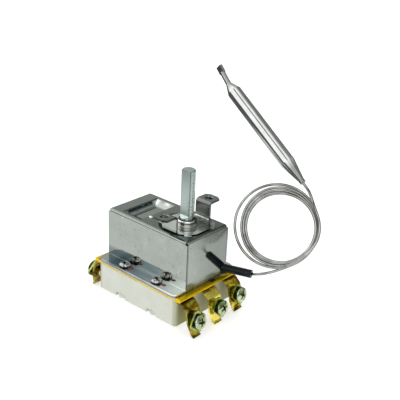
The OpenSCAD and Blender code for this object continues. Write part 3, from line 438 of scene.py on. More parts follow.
# the flange is brushed along its length, with a painted reflection: dark in the middle, bright at both ends
flange = cover.z.span(18.9, 18.7) * cover.y.span(-12.5, -13.3)
brushed = cover.noise(300, 3, 0.6, stretch=(0.08, 1.6, 1))
brushed_with_reflection = brushed.ramp((0.35, (0.18, 0.21, 0.215)), (0.5, (0.28, 0.31, 0.31)), (0.62, (0.48, 0.51, 0.50)))
left_end, right_end = cover.x.span(-15.5, -19.5, 0.0, 0.95), cover.x.span(4, 19)
brushed_with_reflection = cover.tint(left_end, brushed_with_reflection, (1.0, 1.0, 0.95))
brushed_with_reflection = cover.tint(right_end, brushed_with_reflection, (0.98, 0.98, 0.92))
tone = cover.tint(flange, tone, brushed_with_reflection)
# the recess, in painted light: its left slope is a dark painted reflection with dashes, with a painted
# highlight in the corner; its back slope has painted reflections in bands, and its floor painted shade
sunk = cover.z.within(38.8, 40.7, 0.1)
left_slope = sunk * cover.x.within(-17.6, -15.8, 0.8) * cover.y.within(-8, 6, 1.2)
slope_dashes = cover.noise(700, 3, 0.6, stretch=(1, 0.5, 1))
painted_dark_slope = slope_dashes.ramp((0.40, (0.004, 0.016, 0.020)), (0.60, (0.020, 0.050, 0.056)), (0.78, (0.16, 0.23, 0.23)))
tone = cover.tint(left_slope, tone, painted_dark_slope)
painted_glint = cover.near((-15.2, 8.6, 39.8), 0.6, 1.3)
tone = cover.tint(painted_glint, tone, (0.85, 0.9, 0.9))
back_slope = sunk * cover.y.within(9.6, 11.2, 0.8) * cover.x.within(-18, -4, 0.5)
bands = ((cover.x + 17.0) * 1.05).sine().span(-1.0, 1.0)
painted_reflection_bands = bands.ramp((0.0, (0.30, 0.32, 0.32)), (0.6, (0.50, 0.52, 0.52)), (1.0, (0.72, 0.74, 0.73)))
tone = cover.tint(back_slope, tone, painted_reflection_bands)
# painted shade on the recess floor
recess_floor = cover.z.within(38.4, 38.75, 0.05) * cover.y.within(-11, 11, 0.5) * cover.x.within(-18, -4, 0.5)
tone = cover.tint(recess_floor * 0.4, tone, (0.17, 0.185, 0.17))
# the right wall has painted shade, darker towards the back, and a painted reflection of the yellow plate low
# down
right_wall = cover.x.span(23.5, 23.7)
to_back = cover.y.span(-11, 6, 0.16, 0.80)
tone = cover.tint(right_wall * to_back, tone, (0.25, 0.27, 0.255))
yellow_reflection = cover.z.span(22.2, 18.4) * cover.noise(260, 4, 0.6).span(0.36, 0.56)
tone = cover.tint(right_wall * yellow_reflection * 0.9, tone, (0.19, 0.21, 0.045))
# the front wall's foot has painted shade, darker and bluer towards the left, and is a little paler towards
# the right with a painted highlight
foot = cover.y.span(-12.6, -12.9) * cover.z.span(23.4, 21.8)
tone = cover.tint(foot * cover.x.span(-4, -14) * 0.6, tone, (0.13, 0.17, 0.185))
tone = cover.tint(foot * cover.x.span(-8, -2) * 0.32, tone, (0.64, 0.66, 0.64))
# dark folds at the upright corners
front_seam = cover.near((24.0, -12.8, 0), 0.28, 0.40, True)
back_seam = cover.near((24.0, 13.2, 0), 0.4, 0.7, True) * cover.z.span(28, 36)
tone = cover.tint((front_seam | back_seam) * cover.z.span(18.8, 19.2) * 0.85, tone, (0.04, 0.045, 0.04))
# the opening's cut edge at the back is pale and rough
rim = cover.near((shaft_x, 0, 0), 12.15, 12.3, True) * cover.z.within(40.1, 40.95, 0.05) * cover.y.span(3, 6)
tone = cover.tint(rim, tone, (0.9, 0.9, 0.88))
cover.color(tone)
hazy = right_wall * (cover.z.span(33.0, 37.5) * 0.6 | cover.z.span(21.5, 18.5)) * 0.3
cover.rough(cloud.spread(0.05, 0.10) + top * 0.1 + hazy + rim * 0.5)
cover.relief(grain, 0.10, 0.03, 0.22)
dress(cover, "housing_cover")

# Inner frame and its tab
# The frame under the cover is dull, with painted shade where it shows through the opening and paler painted
# light at the back; its flanges are bright.
# Its tab fills the base plate's slot at the right end, where it is turned over and rounded, and is painted
# near black as the slot's shade.
inner = Finish("frame_zinc", (0.2, 0.21, 0.2), 0.4, 1.0)
grime = inner.noise(380, 5)
flanges = grime.ramp((0.3, (0.36, 0.38, 0.36)), (0.7, (0.46, 0.48, 0.45)))
joint_line = inner.z.span(17.55, 17.65)
flanges = inner.tint(joint_line, flanges, (0.03, 0.03, 0.03))
# painted shade where the frame shows through the gap, and paler painted light at the back
gap_shade = grime.ramp((0.3, (0.012, 0.014, 0.013)), (0.7, (0.03, 0.033, 0.03)))
lit_at_back = inner.y.span(3.5, 6.5)
gap_shade = inner.tint(lit_at_back, gap_shade, (0.42, 0.44, 0.42))
high = inner.z.span(19, 22)
inner.color(inner.tint(high, flanges, gap_shade))
inner.rough(high.span(0.0, 1.0, 0.2, 0.6))
inner.relief(grime, 0.2, 0.04, 0.15)
dress(inner, "inner_frame")


def slab(name, xs, ys, zs, round_end, steps=8):
    """A flat bar from one corner to the other, with the two corners at its far end in X rounded."""
    (x0, x1), (y0, y1), (z0, z1) = xs, ys, zs
    outline = [(x0, y0)]
    for middle, start in ((y0 + round_end, -90), (y1 - round_end, 0)):
        for i in range(steps + 1):
            a = rad(start + 90 * i / steps)
            outline.append((x1 - round_end + round_end * cos(a), middle + round_end * sin(a)))
    outline.append((x0, y1))
    n = len(outline)
    verts = [(x, y, z0) for x, y in outline] + [(x, y, z1) for x, y in outline]
    faces = [tuple(range(n))[::-1], tuple(range(n, 2 * n))]
    faces += [(k, (k + 1) % n, n + (k + 1) % n, n + k) for k in range(n)]
    mesh = bpy.data.meshes.new(name)
    mesh.from_pydata([Vector(v) * MM for v in verts], [], faces)
    return link(bpy.data.objects.new(name, mesh))


# the tab's near black is painted shade for the slot
slot_shade_black = Finish("blued_tab", (0.02, 0.02, 0.018), 0.4, 0.7)
slot_shade_black.clouded(900, 3, ((0.4, (0.008, 0.008, 0.007)), (0.7, (0.045, 0.045, 0.04))), 0.2, 0.04, 0.1)
tab = wear(slab("frame_tab", (23.86, 25.22), (1.88, 4.92), (16.3, 17.62), 0.5), slot_shade_black)
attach(tab, "housing")

# Mounting bracket
# The bracket is pressed and folded from one sheet, and the bush is riveted over it. It has the cover's
# plating, duller and mottled from the bending, and so have the top rivet, the bridge and the lever's pin.
# The ears' holes are threaded, and their cut edges have painted shade.
dull = Finish("mottled_zinc", (0.38, 0.40, 0.38), 0.2, 1.0)
mottle = dull.noise(520, 5, 0.62)
tone = mottle.ramp((0.3, (0.22, 0.24, 0.225)), (0.5, (0.36, 0.38, 0.36)), (0.72, (0.48, 0.50, 0.47)))
wide_cloud = dull.noise(170, 3).span(0.4, 0.75, 0.0, 0.4)
tone = dull.tint(wide_cloud, tone, (0.44, 0.46, 0.43))
# the disc has a painted reflection that brightens it to the left
disc = dull.z.span(41.8, 41.6)
reflection_to_left = dull.x.span(14, 5, 0.4, 0.80)
tone = dull.tint(disc * reflection_to_left, tone, (1.0, 1.0, 0.95))
# painted shade on the raised ears' tops and their cut edges, and on the risers: the back one dark with
# painted shade, the front one paler with painted light
ear = dull.z.span(47.5, 47.9)
tone = dull.tint(ear * 0.92, tone, (0.18, 0.19, 0.185))
facing = dull.add("ShaderNodeSeparateXYZ", None, {0: dull.add("ShaderNodeTexCoord", out="Normal")}, "Z")
edge_shade = ear * abs(facing).span(0.25, 0.1)
tone = dull.tint(edge_shade * 0.85, tone, (0.05, 0.055, 0.05))
riser = dull.z.within(43.2, 47.4, 0.6)
tone = dull.tint(riser * dull.y.span(-2, 2) * 0.88, tone, (0.09, 0.10, 0.095))
tone = dull.tint(riser * dull.y.span(2, -2) * 0.6, tone, (0.50, 0.52, 0.49))
# the back riser's foot and the disc before it are shaded
back_foot = dull.z.within(41.7, 43.2, 0.2) * dull.y.span(7, 9)
tone = dull.tint(back_foot * 0.8, tone, (0.15, 0.16, 0.15))
disc_at_back = disc * dull.y.span(-3, 4) * mottle.span(0.4, 0.6, 0.7, 0.2)
tone = dull.tint(disc_at_back, tone, (0.15, 0.16, 0.15))
# a painted highlight on the locating lug, and the threads inside the holes, which lie 28 mm apart, painted as
# rings with painted shade in them
lug = dull.near((19.8, -8.5, 41.2), 1.4, 1.8)
tone = dull.tint(lug, tone, (0.78, 0.80, 0.78))
front_hole, back_hole = (dull.near((shaft_x, y, 0), 1.68, 1.76, True) for y in (-14, 14))
threads = (dull.z * 9.8).sine().span(-1.0, 1.0)
threaded = threads.ramp((0.45, (0.02, 0.02, 0.02)), (0.75, (0.30, 0.31, 0.30)))
tone = dull.tint(front_hole | back_hole, tone, threaded)
dull.color(tone)
dull.rough(mottle.spread(0.13, 0.24))
dull.relief(mottle, 0.18, 0.05, 0.18)
dress(dull, "mounting_bracket", "top_rivet", "threaded_bridge", "lever_pin")

# Bush and lever
# The bush is turned steel, riveted through the frame and the bracket, with fine rings round its axis and a
# little grime. Its rim has a painted highlight; its counterbore has painted shade with olive grime, and the
# step under the rim painted shade, with a painted reflection on the wall below. The folded lever inside has
# the same finish.
turned = Finish("turned_steel", (0.42, 0.43, 0.41), 0.25, 1.0)
rings = turned.noise(2600, 2, stretch=(0.3, 0.3, 1))
grime = turned.noise(500, 5, 0.6)
tone = grime.ramp((0.35, (0.24, 0.25, 0.235)), (0.6, (0.45, 0.46, 0.44)), (0.8, (0.62, 0.63, 0.61)))
# painted reflection on the wall below the rim, and painted shade on the step under it
reflection_below = turned.z.span(42.9, 42.7) * grime.span(0.3, 0.6, 0.25, 0.7)
tone = turned.tint(reflection_below, tone, (0.52, 0.55, 0.52))
shaded_step = turned.z.within(42.75, 43.1, 0.12)
tone = turned.tint(shaded_step * 0.9, tone, (0.035, 0.04, 0.03))
# the rim shines, except at its right, which is in the ear's shade
to_right = (turned.x - shaft_x) * 0.75 + turned.y * 0.66
shining = turned.z.span(43.15, 43.3) * to_right.span(2.6, 3.6, 1.0, 0.0)
tone = turned.tint(shining, tone, (0.98, 0.99, 0.97))
shaded = turned.z.span(42.6, 42.8) * to_right.span(2.8, 3.6)
tone = turned.tint(shaded * 0.92, tone, (0.03, 0.035, 0.03))
# painted shade in the counterbore, with olive grime
inside_rim = turned.near((shaft_x, 0, 0), 3.6, 3.8, True)
counterbore = turned.z.span(42.4, 42.6) * turned.z.span(43.5, 43.3) * inside_rim
tone = turned.tint(counterbore, tone, grime.ramp((0.4, (0.03, 0.035, 0.02)), (0.62, (0.30, 0.33, 0.24))))
turned.color(tone)
turned.rough(rings.spread(0.14, 0.28))
turned.relief(rings, 0.2, 0.03, 0.3)
dress(turned, "shaft_bush", "transfer_lever")

# Clip and nuts
# The clip that holds the shaft is browned spring steel, punched from strip. The nuts in the ceramic's
# pockets are pale, blasted and plated, and mirror the light from below.
spring = Finish("browned_spring", (0.16, 0.17, 0.12), 0.35, 1.0)
spring.clouded(900, 4, ((0.35, (0.05, 0.06, 0.035)), (0.65, (0.24, 0.26, 0.19))), 0.2, 0.04, 0.1)
dress(spring, "retaining_clip")
nuts = Finish("pale_nuts", (0.62, 0.62, 0.57), 0.6, 0.2)
nuts.clouded(700, 3, ((0.3, (0.52, 0.52, 0.47)), (0.7, (0.68, 0.68, 0.62))), 0.1, 0.03, 0.1)
dress(nuts, *["cover_nut_%d" % i for i in (1, 2, 3, 4)])

# Control shaft
# The shaft is turned steel, milled flat on one side and plated: bright and
# faintly blue. Its round side is speckled where the plating is thin, most
# of all low down, and the edge between the flat and the round is darker, in specks.
shaft = Finish("shaft_zinc", (0.45, 0.50, 0.50), 0.2, 1.0)
speck = shaft.noise(1500, 4, 0.7)
sweep = shaft.noise(160, 2, stretch=(1, 1, 0.35))
tone = sweep.ramp((0.3, (0.48, 0.56, 0.54)), (0.7, (0.56, 0.64, 0.62)))
round_side = shaft.y.span(-1.6, -1.2)
low_down = shaft.z.span(62, 46, 0.45, 1.0)
spots = speck.span(0.50, 0.60) * round_side * low_down
tone = shaft.tint(spots * 0.85, tone, (0.12, 0.15, 0.15))
dark_edge = shaft.near((13.8, -1.6, 0), 0.10, 0.34, True) * speck.span(0.34, 0.5, 0.55, 1.0)
tone = shaft.tint(dark_edge * 0.85, tone, (0.13, 0.17, 0.17))
shaft.color(tone)
shaft.rough(sweep.spread(0.2, 0.3))
shaft.relief(speck, 0.15, 0.04, 0.15)
dress(shaft, "control_shaft")

# Base plate
# Punched steel plate, hemmed at both ends, with a yellow passivation that runs from gold to a deeper amber.
# It is darker towards the right, where it lies in the housing's shade.
yellow = Finish("yellow_passivated", (0.85, 0.55, 0.01), 0.28, 0.88)
cloud = yellow.noise(120, 4)
tone = cloud.ramp((0.25, (0.62, 0.34, 0.002)), (0.5, (0.85, 0.55, 0.002)), (0.75, (0.95, 0.72, 0.008)))
shaded = yellow.y.span(-6, 10, 0.0, 0.4) * yellow.x.span(22, 24)
yellow.color(yellow.tint(shaded, tone, (0.36, 0.27, 0.01)))
yellow.rough(cloud.spread(0.2, 0.36))
yellow.relief(yellow.noise(1200, 3, stretch=(1, 0.2, 1)), 0.15, 0.04, 0.12)
dress(yellow, "base_plate")

# Insulating sheet
# A punched sheet of built-up mica, in thin flakes, that keeps the live strips away from the frame. It is
# held between the frame and the base plate by the cover's screws.
mica = Finish("mica_sheet", (0.62, 0.58, 0.42), 0.5)
flake = mica.noise(800, 4, 0.6, stretch=(1, 1, 6))
mica.color(flake.ramp((0.3, (0.50, 0.46, 0.30)), (0.7, (0.74, 0.70, 0.54))))
mica.rough(flake.spread(0.35, 0.6))
mica.relief(flake, 0.2, 0.04)
dress(mica, "insulating_sheet")

# Ceramic base and push bar
# Unglazed steatite, pressed and fired: warm white and very finely grained. On the end faces, painted shade,
# tinted olive by light off the brass, lies beside each terminal.
ceramic = Finish("steatite", (0.76, 0.77, 0.71), 0.42)
fine = ceramic.noise(2500, 3)
tone = ceramic.noise(110, 3).ramp((0.3, (0.53, 0.55, 0.48)), (0.7, (0.585, 0.605, 0.53)))
tone = ceramic.tint(fine.span(0.6, 0.8, 0.0, 0.2), tone, (0.57, 0.57, 0.51))
pitch_y = 13.7
past_strip = (ceramic.y + 3 * pitch_y - 2.6) % pitch_y
# painted shade beside each terminal on the end faces, tinted olive by light off the brass
olive = past_strip.span(3.2, 9.0) * abs(ceramic.x).span(21.5, 22.5) * ceramic.y.span(-8, -14, 0.72, 0.88)
ceramic.color(ceramic.tint(olive, tone, (0.245, 0.235, 0.03)))
ceramic.rough(fine.spread(0.36, 0.5))
ceramic.relief(fine, 0.12, 0.04, 0.5)
dress(ceramic, "ceramic_base", "push_bar")

# Terminals
# Bent brass strips, pressed into the ceramic's channels, tarnished in olive and brown clouds, with painted
# shade under the plate's edge. The front one is the darkest, and the middle one the brightest. The
# contact arms and the adjusting screw are brass too.
TERMINALS = [s + i for s in "rl" for i in "123"]
brass = Finish("tarnished_brass", (0.6, 0.46, 0.1), 0.25, 1.0)
cloud = brass.noise(330, 5, 0.6, distort=0.4)
tone = cloud.ramp((0.36, (0.035, 0.02, 0.003)), (0.45, (0.22, 0.14, 0.010)), (0.53, (0.50, 0.36, 0.02)),
                  (0.62, (0.76, 0.62, 0.09)), (0.74, (0.90, 0.82, 0.36)))
front_strip = brass.y.span(-9, -11, 0.0, 0.48)
tone = brass.tint(front_strip, tone, (0.09, 0.062, 0.003))
middle_strip = brass.y.within(-4, 4, 1.0) * cloud.span(0.36, 0.50, 0.4, 0.85)
tone = brass.tint(middle_strip, tone, (1.0, 0.82, 0.16))
# painted shade under the plate's edge
shade_under_plate = brass.z.within(14.9, 15.8, 0.35) * brass.noise(420, 3).span(0.40, 0.55, 0.3, 1.0)
tone = brass.tint(shade_under_plate * 0.85, tone, (0.045, 0.028, 0.004))
brass.color(tone)
brass.rough(cloud.spread(0.30, 0.12))
brass.relief(cloud, 0.35, 0.22, 0.15)
dress(brass, *["terminal_" + t for t in TERMINALS], *["contact_arm_" + i for i in "123"], "adjusting_screw")

# Clamp washers
# Oblong steel washers with cut corners, punched, dished and loose under the terminal screws. Their
# passivation is iridescent: yellow, green and paler streaks.
green = Finish("iridescent_zinc", (0.5, 0.58, 0.16), 0.2, 1.0)
cloud = green.noise(260, 4, 0.6, distort=0.8)
tone = cloud.ramp((0.30, (0.04, 0.06, 0.008)), (0.42, (0.20, 0.28, 0.03)), (0.52, (0.38, 0.46, 0.07)),
                  (0.62, (0.46, 0.50, 0.26)), (0.74, (0.64, 0.64, 0.44)))
streak = green.noise(190, 2, 0.5, turn=(0.4, 0.3, 0)).span(0.60, 0.68, 0.0, 0.8)
green.color(green.tint(streak, tone, (0.26, 0.29, 0.22)))
green.rough(cloud.spread(0.16, 0.3))
green.relief(green.noise(1300, 3), 0.15, 0.04, 0.2)
dress(green, *["clamp_washer_" + t for t in TERMINALS])

# Silver contacts
# Fine silver rivets, three fixed on the right terminals and
# three on the sprung arms. Their faces are matt from arcing.
silver = Finish("silver_contact", (0.82, 0.81, 0.78), 0.25, 1.0)
silver.clouded(1200, 4, ((0.3, (0.66, 0.65, 0.62)), (0.7, (0.88, 0.87, 0.85))), 0.2, 0.03, 0.1)
dress(silver, *[kind + "_contact_" + i for kind in ("fixed", "moving") for i in "123"])

# Screws
# Steel pan heads, cold headed, with a pressed cross recess, deepest in its middle, and a rolled thread that
# runs out at its start and end. Each one replaces its CAD screw, in the same place and of the same size.
SCREW_SIZES = ("HeadWidth", "HeadHeight", "DomeHeight", "RecessLength", "RecessWidth", "RecessDepth",
               "RecessTurn", "ShankWidth", "ShankLength", "Pitch", "ThreadDepth")
SCREW_FINISHES = ("HeadFinish", "RecessFinish", "WallFinish")
# a screw is one sheet, rolled up: steps round, and rings
# down the domed top, the wall, the end and each pitch
AROUND, TOP_RINGS, WALL_RINGS, END_RINGS, RINGS_A_PITCH = 112, 34, 3, 2, 9
EDGE_ROUND, EDGE_DROP, UNDERCUT, TIP_ROUND = 0.22, 0.8, 0.12, 0.4
# how much the cross's arms narrow and rise outwards, how soft their sides and ends are, and over how many
# pitches the thread fades in and out
ARM_TAPER, ARM_RISE, ARM_SIDE, ARM_END, FADE_IN, FADE_OUT = 0.5, 0.45, 0.16, 0.3, 0.7, 1.1
pan_screw, size = sized_tree("pan_screw", **dict.fromkeys(SCREW_SIZES, "Float"), ThreadRings="Int",
                             **dict.fromkeys(SCREW_FINISHES, "Material"))
radius, dome = size["HeadWidth"] / 2, size["DomeHeight"]
ball = (radius * radius + dome * dome) / (2 * dome)
wall = size["HeadHeight"] - ball + (ball * ball - radius * radius).root() - EDGE_ROUND * EDGE_DROP


def recess(x, y):
    """How deep the cross is at a place on the head: its arms narrow and rise outwards."""
    half_long = size["RecessLength"] / 2

    def arm(out, across):
        half = size["RecessWidth"] / 2 * (1 + ARM_TAPER / 2 - ARM_TAPER * out / half_long)
        in_width = ((half - across) / ARM_SIDE + 0.5).span(0, 1, soft=True)
        in_length = ((half_long - out) / ARM_END + 0.5).span(0, 1, soft=True)
        return in_width * in_length * size["RecessDepth"] * (1 - ARM_RISE * out / half_long)
    return arm(abs(x), abs(y)) | arm(abs(y), abs(x))


def place_parts(kind, scale=1.0):
    """The three parts of the place that a node gives, times a scale."""
    place = pan_screw.add(kind)
    return [pan_screw.add("ShaderNodeSeparateXYZ", None, {0: place}, axis) * scale for axis in "XYZ"]


rings = size["ThreadRings"] + TOP_RINGS + WALL_RINGS + END_RINGS
sheet = pan_screw.add("GeometryNodeMeshGrid", None, {"Size X": 1.0, "Size Y": 1.0, "Vertices Y": AROUND + 1,
                                                     "Vertices X": rings + 1})
u, v, _ = place_parts("GeometryNodeInputPosition")
ring, turn = (u + 0.5) * rings, v + 0.5
on_top = ring < TOP_RINGS + 0.5
on_shank = ring > TOP_RINGS + WALL_RINGS + 0.5
on_wall = 1 - on_top - on_shank
angle = turn * (2 * math.pi)
# the domed top, with its edge rounded off and the cross pressed in
top_r = (ring & TOP_RINGS) / TOP_RINGS * radius
over_edge = (top_r - radius + EDGE_ROUND) | 0.0
edge_fall = (EDGE_ROUND - (EDGE_ROUND ** 2 - over_edge * over_edge).root()) * EDGE_DROP
from_cross = angle - size["RecessTurn"]
pressed = recess(top_r * from_cross.cosine(), top_r * from_cross.sine())
top_z = size["HeadHeight"] - ball + (ball * ball - top_r * top_r).root() - edge_fall - pressed
# the head's wall
wall_r = radius - UNDERCUT * (ring > TOP_RINGS + WALL_RINGS - 0.5)
wall_z = wall * (1 - (ring - TOP_RINGS) / WALL_RINGS)
# the shank: a helical thread that fades at both ends, a rounded tip, and the last ring, which closes it
down = size["ShankLength"] * ((ring - TOP_RINGS - WALL_RINGS - 1) / size["ThreadRings"]).span(0, 1)
left = size["ShankLength"] - down
helix = (0 - down / size["Pitch"] - turn) % 1.0
fade_in = (down / (FADE_IN * size["Pitch"])).span(0, 1, soft=True)
fade_out = (left / (FADE_OUT * size["Pitch"])).span(0, 1, soft=True)
groove = size["ThreadDepth"] * (1 - abs(2 * helix - 1)) * (fade_in * fade_out)
tip_fall = TIP_ROUND * (1 - (left / TIP_ROUND).span(0, 1, soft=True))
shank_r = (size["ShankWidth"] / 2 - groove - tip_fall) * (ring < rings - 0.5)
r = on_top * top_r + on_wall * wall_r + on_shank * shank_r
z = on_top * top_z + on_wall * wall_z - on_shank * down
spot = pan_screw.add("ShaderNodeCombineXYZ", None, {0: r * angle.cosine(), 1: r * angle.sine(), 2: z})
shape = pan_screw.add("GeometryNodeSetPosition", None, {"Geometry": sheet, "Position": spot})
shape = pan_screw.add("GeometryNodeMergeByDistance", None, {"Geometry": shape, "Distance": 0.001})
shape = pan_screw.add("GeometryNodeTransform", None, {"Geometry": shape, "Scale": (MM, MM, MM)})
# the faces inside the cross and those of the wall have finishes of their own
x, y, z = place_parts("GeometryNodeInputPosition", 1000.0)
way_x, way_y = size["RecessTurn"].cosine(), size["RecessTurn"].sine()
depth_there = recess(x * way_x + y * way_y, y * way_x - x * way_y)
in_recess = (depth_there > size["RecessDepth"] * 0.22) * (z > 0.02)
at_wall = ((x * x + y * y).root() > radius - UNDERCUT - 0.01) * (z > 0.001) * (z < wall - 0.001)
close_tree(pan_screw, shape, (size["HeadFinish"], True), (size["RecessFinish"], in_recess),
           (size["WallFinish"], at_wall))


def screw(name, place, head, cross, shank, thread, finishes, body, stands_for):
    """Makes a screw that stands for a CAD screw. A head is its width, height and dome, a cross its length,
    width, depth and turn, a shank its width and length, and a thread its pitch and depth."""
    sizes = {key: float(value) for key, value in zip(SCREW_SIZES, (*head, *cross, *shank, *thread))}
    sizes["ThreadRings"] = int(shank[1] / thread[0] * RINGS_A_PITCH)
    sizes.update(zip(SCREW_FINISHES, (finish.mat for finish in finishes)))
    piece = grow(name, pan_screw, bpy.data.meshes.new(name + "_blank"), **sizes)
    piece.data.transform(place)
    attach(piece, body)
    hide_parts(stands_for)


# the recesses of all the screws hold dirt and painted shade, and their heads' walls have painted shade
dirt_and_shade = Finish("recess_dirt", (0.03, 0.035, 0.025), 0.5, 0.6)
dirt_and_shade.clouded(1400, 3, ((0.4, (0.008, 0.010, 0.006)), (0.7, (0.07, 0.08, 0.05))), 0.2, 0.04)

# Terminal screws
# Six screws through the clamps into the strips' threaded ends, each pair left open by a wire gap of its
# own. Their bright heads have a green tint left in the plating.
bright = Finish("bright_green_zinc", (0.7, 0.75, 0.55), 0.12, 1.0)
cloud = bright.noise(300, 4, 0.6, distort=0.6)
bright.color(cloud.ramp((0.3, (0.14, 0.20, 0.05)), (0.48, (0.48, 0.56, 0.30)), (0.7, (0.76, 0.79, 0.66))))
bright.rough(cloud.spread(0.08, 0.2))
bright.relief(bright.noise(1400, 3), 0.12, 0.03)
shade_green = Finish("head_wall_green", (0.06, 0.08, 0.03), 0.25, 1.0)
shade_green.clouded(700, 3, ((0.4, (0.012, 0.018, 0.006)), (0.7, (0.12, 0.16, 0.06))), 0.15, 0.04)
head, cross, shank_d, thread = (6.6, 2.3, 0.85), (3.9, 0.85, 1.35), 3.5, (0.6, 0.34)
# the strips' lean and thickness, the clamp's thickness, and how far the screw reaches beyond the strip
STRIP_LEAN, STRIP, CLAMP, BEYOND = rad(79), 0.8, 0.9, 2.2
# where each screw meets its strip: x, y and z, and the wire gap
SEAT = {"1": (29.561, -pitch_y, 7.40957, 1.5), "2": (29.3511, 0.0, 8.48936, 2.2),
        "3": (29.2366, pitch_y, 9.07834, 1.4)}
for t in TERMINALS:
    x, y, z, gap = SEAT[t[1]]
    hand = 1 if t[0] == "r" else -1
    place = (Matrix.Translation(mm(hand * x, y, z)) @ Matrix.Rotation(hand * STRIP_LEAN, 4, "Y")
             @ Matrix.Translation(mm(0, 0, STRIP / 2 + gap + CLAMP)))
    # the cross stands at 20 degrees on the middle screw, and at 35 less or more on its neighbours
    turn = 20 + 35 * (int(t[1]) - 2)
    turn = rad(turn if hand > 0 else 180 - turn)
    screw("clamp_screw_" + t, place, head, (*cross, turn), (shank_d, CLAMP + gap + STRIP + BEYOND), thread,
          (bright, dirt_and_shade, shade_green), "clamp_" + t, "terminal_screw_" + t)

# Cover screws
# Four long screws that hold the cover, frame, sheet and base plate on the ceramic, in plain zinc with dark
# tarnish. Each stopped at its own turn when it was driven home.
nickel = Finish("bright_zinc", (0.5, 0.5, 0.48), 0.1, 1.0)
cloud = nickel.noise(900, 4)
nickel.color(cloud.ramp((0.38, (0.07, 0.07, 0.065)), (0.48, (0.36, 0.36, 0.34)), (0.7, (0.66, 0.67, 0.65))))
nickel.rough(cloud.spread(0.06, 0.18))
nickel.relief(nickel.noise(1600, 3), 0.1, 0.03)
# the heads' walls have painted shade
wall_shade = Finish("head_wall_dark", (0.05, 0.05, 0.05), 0.2, 1.0)
wall_shade.clouded(900, 3, ((0.4, (0.02, 0.02, 0.02)), (0.7, (0.16, 0.16, 0.155))), 0.15, 0.04)
head, cross, shank, thread = (5.2, 2.0, 1.1), (3.3, 0.9, 1.2), (3.0, 14.4), (0.5, 0.28)
flange_z = 18.608
for i in (1, 2, 3, 4):
    low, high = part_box("cover_screw_%d" % i)
    place = Matrix.Translation(((low[0] + high[0]) / 2, (low[1] + high[1]) / 2, flange_z * MM))
    screw("housing_screw_%d" % i, place, head, (*cross, rad(25 * i + 10)), shank, thread,
          (nickel, dirt_and_shade, wall_shade), "housing", "cover_screw_%d" % i)

# Lacquer dabs
# Dark red locking lacquer, dabbed on the flange beside the two front screws after they were driven: flat,
# uneven drops that thin out at their rims.
lacquer = Finish("red_lacquer", (0.22, 0.008, 0.03), 0.3)
cloud = lacquer.clouded(900, 3, ((0.3, (0.09, 0.002, 0.012)), (0.7, (0.26, 0.02, 0.05))), 0.2, 0.1)
lacquer.rough(cloud.spread(0.2, 0.4))
# steps round and rings out; the height, the rim's height,
# and how steeply a dab falls; how uneven and oval it is
DAB_STEPS, DAB_RINGS = 40, 8
DAB_HEIGHT, DAB_RIM, DAB_FALL, DAB_UNEVEN, DAB_OVAL = 0.32, 0.004, 2.4, 0.28, 1.25
for i, (x, y, spread) in enumerate(((-6.2, -16.06, 1.15), (14.07, -15.96, 0.95))):
    verts, faces = [(x, y, flange_z + DAB_HEIGHT)], []
    for j in range(1, DAB_RINGS + 1):
        out = j / DAB_RINGS
        for k in range(DAB_STEPS):
            a = 2 * math.pi * k / DAB_STEPS
            uneven = 1 + DAB_UNEVEN * lumps.noise(Vector((cos(a) * 1.3 + 7 * i, sin(a) * 1.3, 0.5)))
            verts.append((x + spread * uneven * out * cos(a) * DAB_OVAL, y + spread * uneven * out * sin(a),
                          flange_z + DAB_HEIGHT * max(0.0, 1 - out ** DAB_FALL) + DAB_RIM))
    faces += [(0, 1 + k, 1 + (k + 1) % DAB_STEPS) for k in range(DAB_STEPS)]
    for j in range(DAB_RINGS - 1):
        a, b = 1 + j * DAB_STEPS, 1 + (j + 1) * DAB_STEPS
        faces += [(a + k, b + k, b + (k + 1) % DAB_STEPS, a + (k + 1) % DAB_STEPS) for k in range(DAB_STEPS)]
    mesh = bpy.data.meshes.new("lacquer_%d" % (i + 1))
    mesh.from_pydata([Vector(v) * MM for v in verts], [], faces)
    mesh.shade_smooth()
    dab = wear(link(bpy.data.objects.new("lacquer_%d" % (i + 1), mesh)), lacquer)
    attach(dab, "housing")

# Floor
# A plain pale floor, 3 m wide, that lights the part from below. In reflections it is bright near the part
# and dark further off, as beyond a light table.
HALF_FLOOR = 1.5
corners = [(x * HALF_FLOOR, y * HALF_FLOOR, 0) for x, y in ((-1, -1), (1, -1), (1, 1), (-1, 1))]
floor_mesh = bpy.data.meshes.new("floor")
floor_mesh.from_pydata(corners, [], [(0, 1, 2, 3)])
floor = link(bpy.data.objects.new("floor", floor_mesh))
pale = Finish("pale_floor", (0.75, 0.75, 0.75), 0.9)
light_tables = pale.near((-45, -65, 0), 66, 86) | pale.near((70, 45, 0), 110, 190)
mirrored = light_tables.ramp((0.0, (0.12, 0.125, 0.125)), (1.0, (0.97, 0.99, 0.97)))
seen = pale.add("ShaderNodeEmission", None, {"Color": mirrored})
glow = pale.add("ShaderNodeEmission", None, {"Strength": 0.52})
lit = pale.add("ShaderNodeAddShader", None, {0: Value(pale, pale.surface.outputs[0]), 1: glow})
in_mirror = pale.add("ShaderNodeLightPath", out="Is Glossy Ray")
either = pale.add("ShaderNodeMixShader", None, {0: in_mirror, 1: lit, 2: seen})
pale.tree.links.new(either.socket, pale.tree.nodes["Material Output"].inputs["Surface"])
wear(floor, pale)

# Studio
# The sky is white where it is looked at. To the part it is a studio with soft boxes, bright in front and
# above, and grey and dark behind; two weak lamps give it soft shading.
world = bpy.data.worlds.new("studio")
scene.world = world
world.use_nodes = True
world.node_tree.nodes.clear()
studio = Nodes(world.node_tree)
where = studio.add("ShaderNodeTexCoord", out="Generated")


def patch(direction, inner_deg, outer_deg):
    """1 within inner_deg of a direction, falling to 0 at outer_deg."""
    towards = studio.dot(where, Vector(direction).normalized())
    return towards.span(cos(rad(outer_deg)), cos(rad(inner_deg)), soft=True)


def background(color, strength=1.0):
    """A sky of one colour, or of the colours that a value gives."""
    return studio.add("ShaderNodeBackground", None, {"Color": color, "Strength": strength})


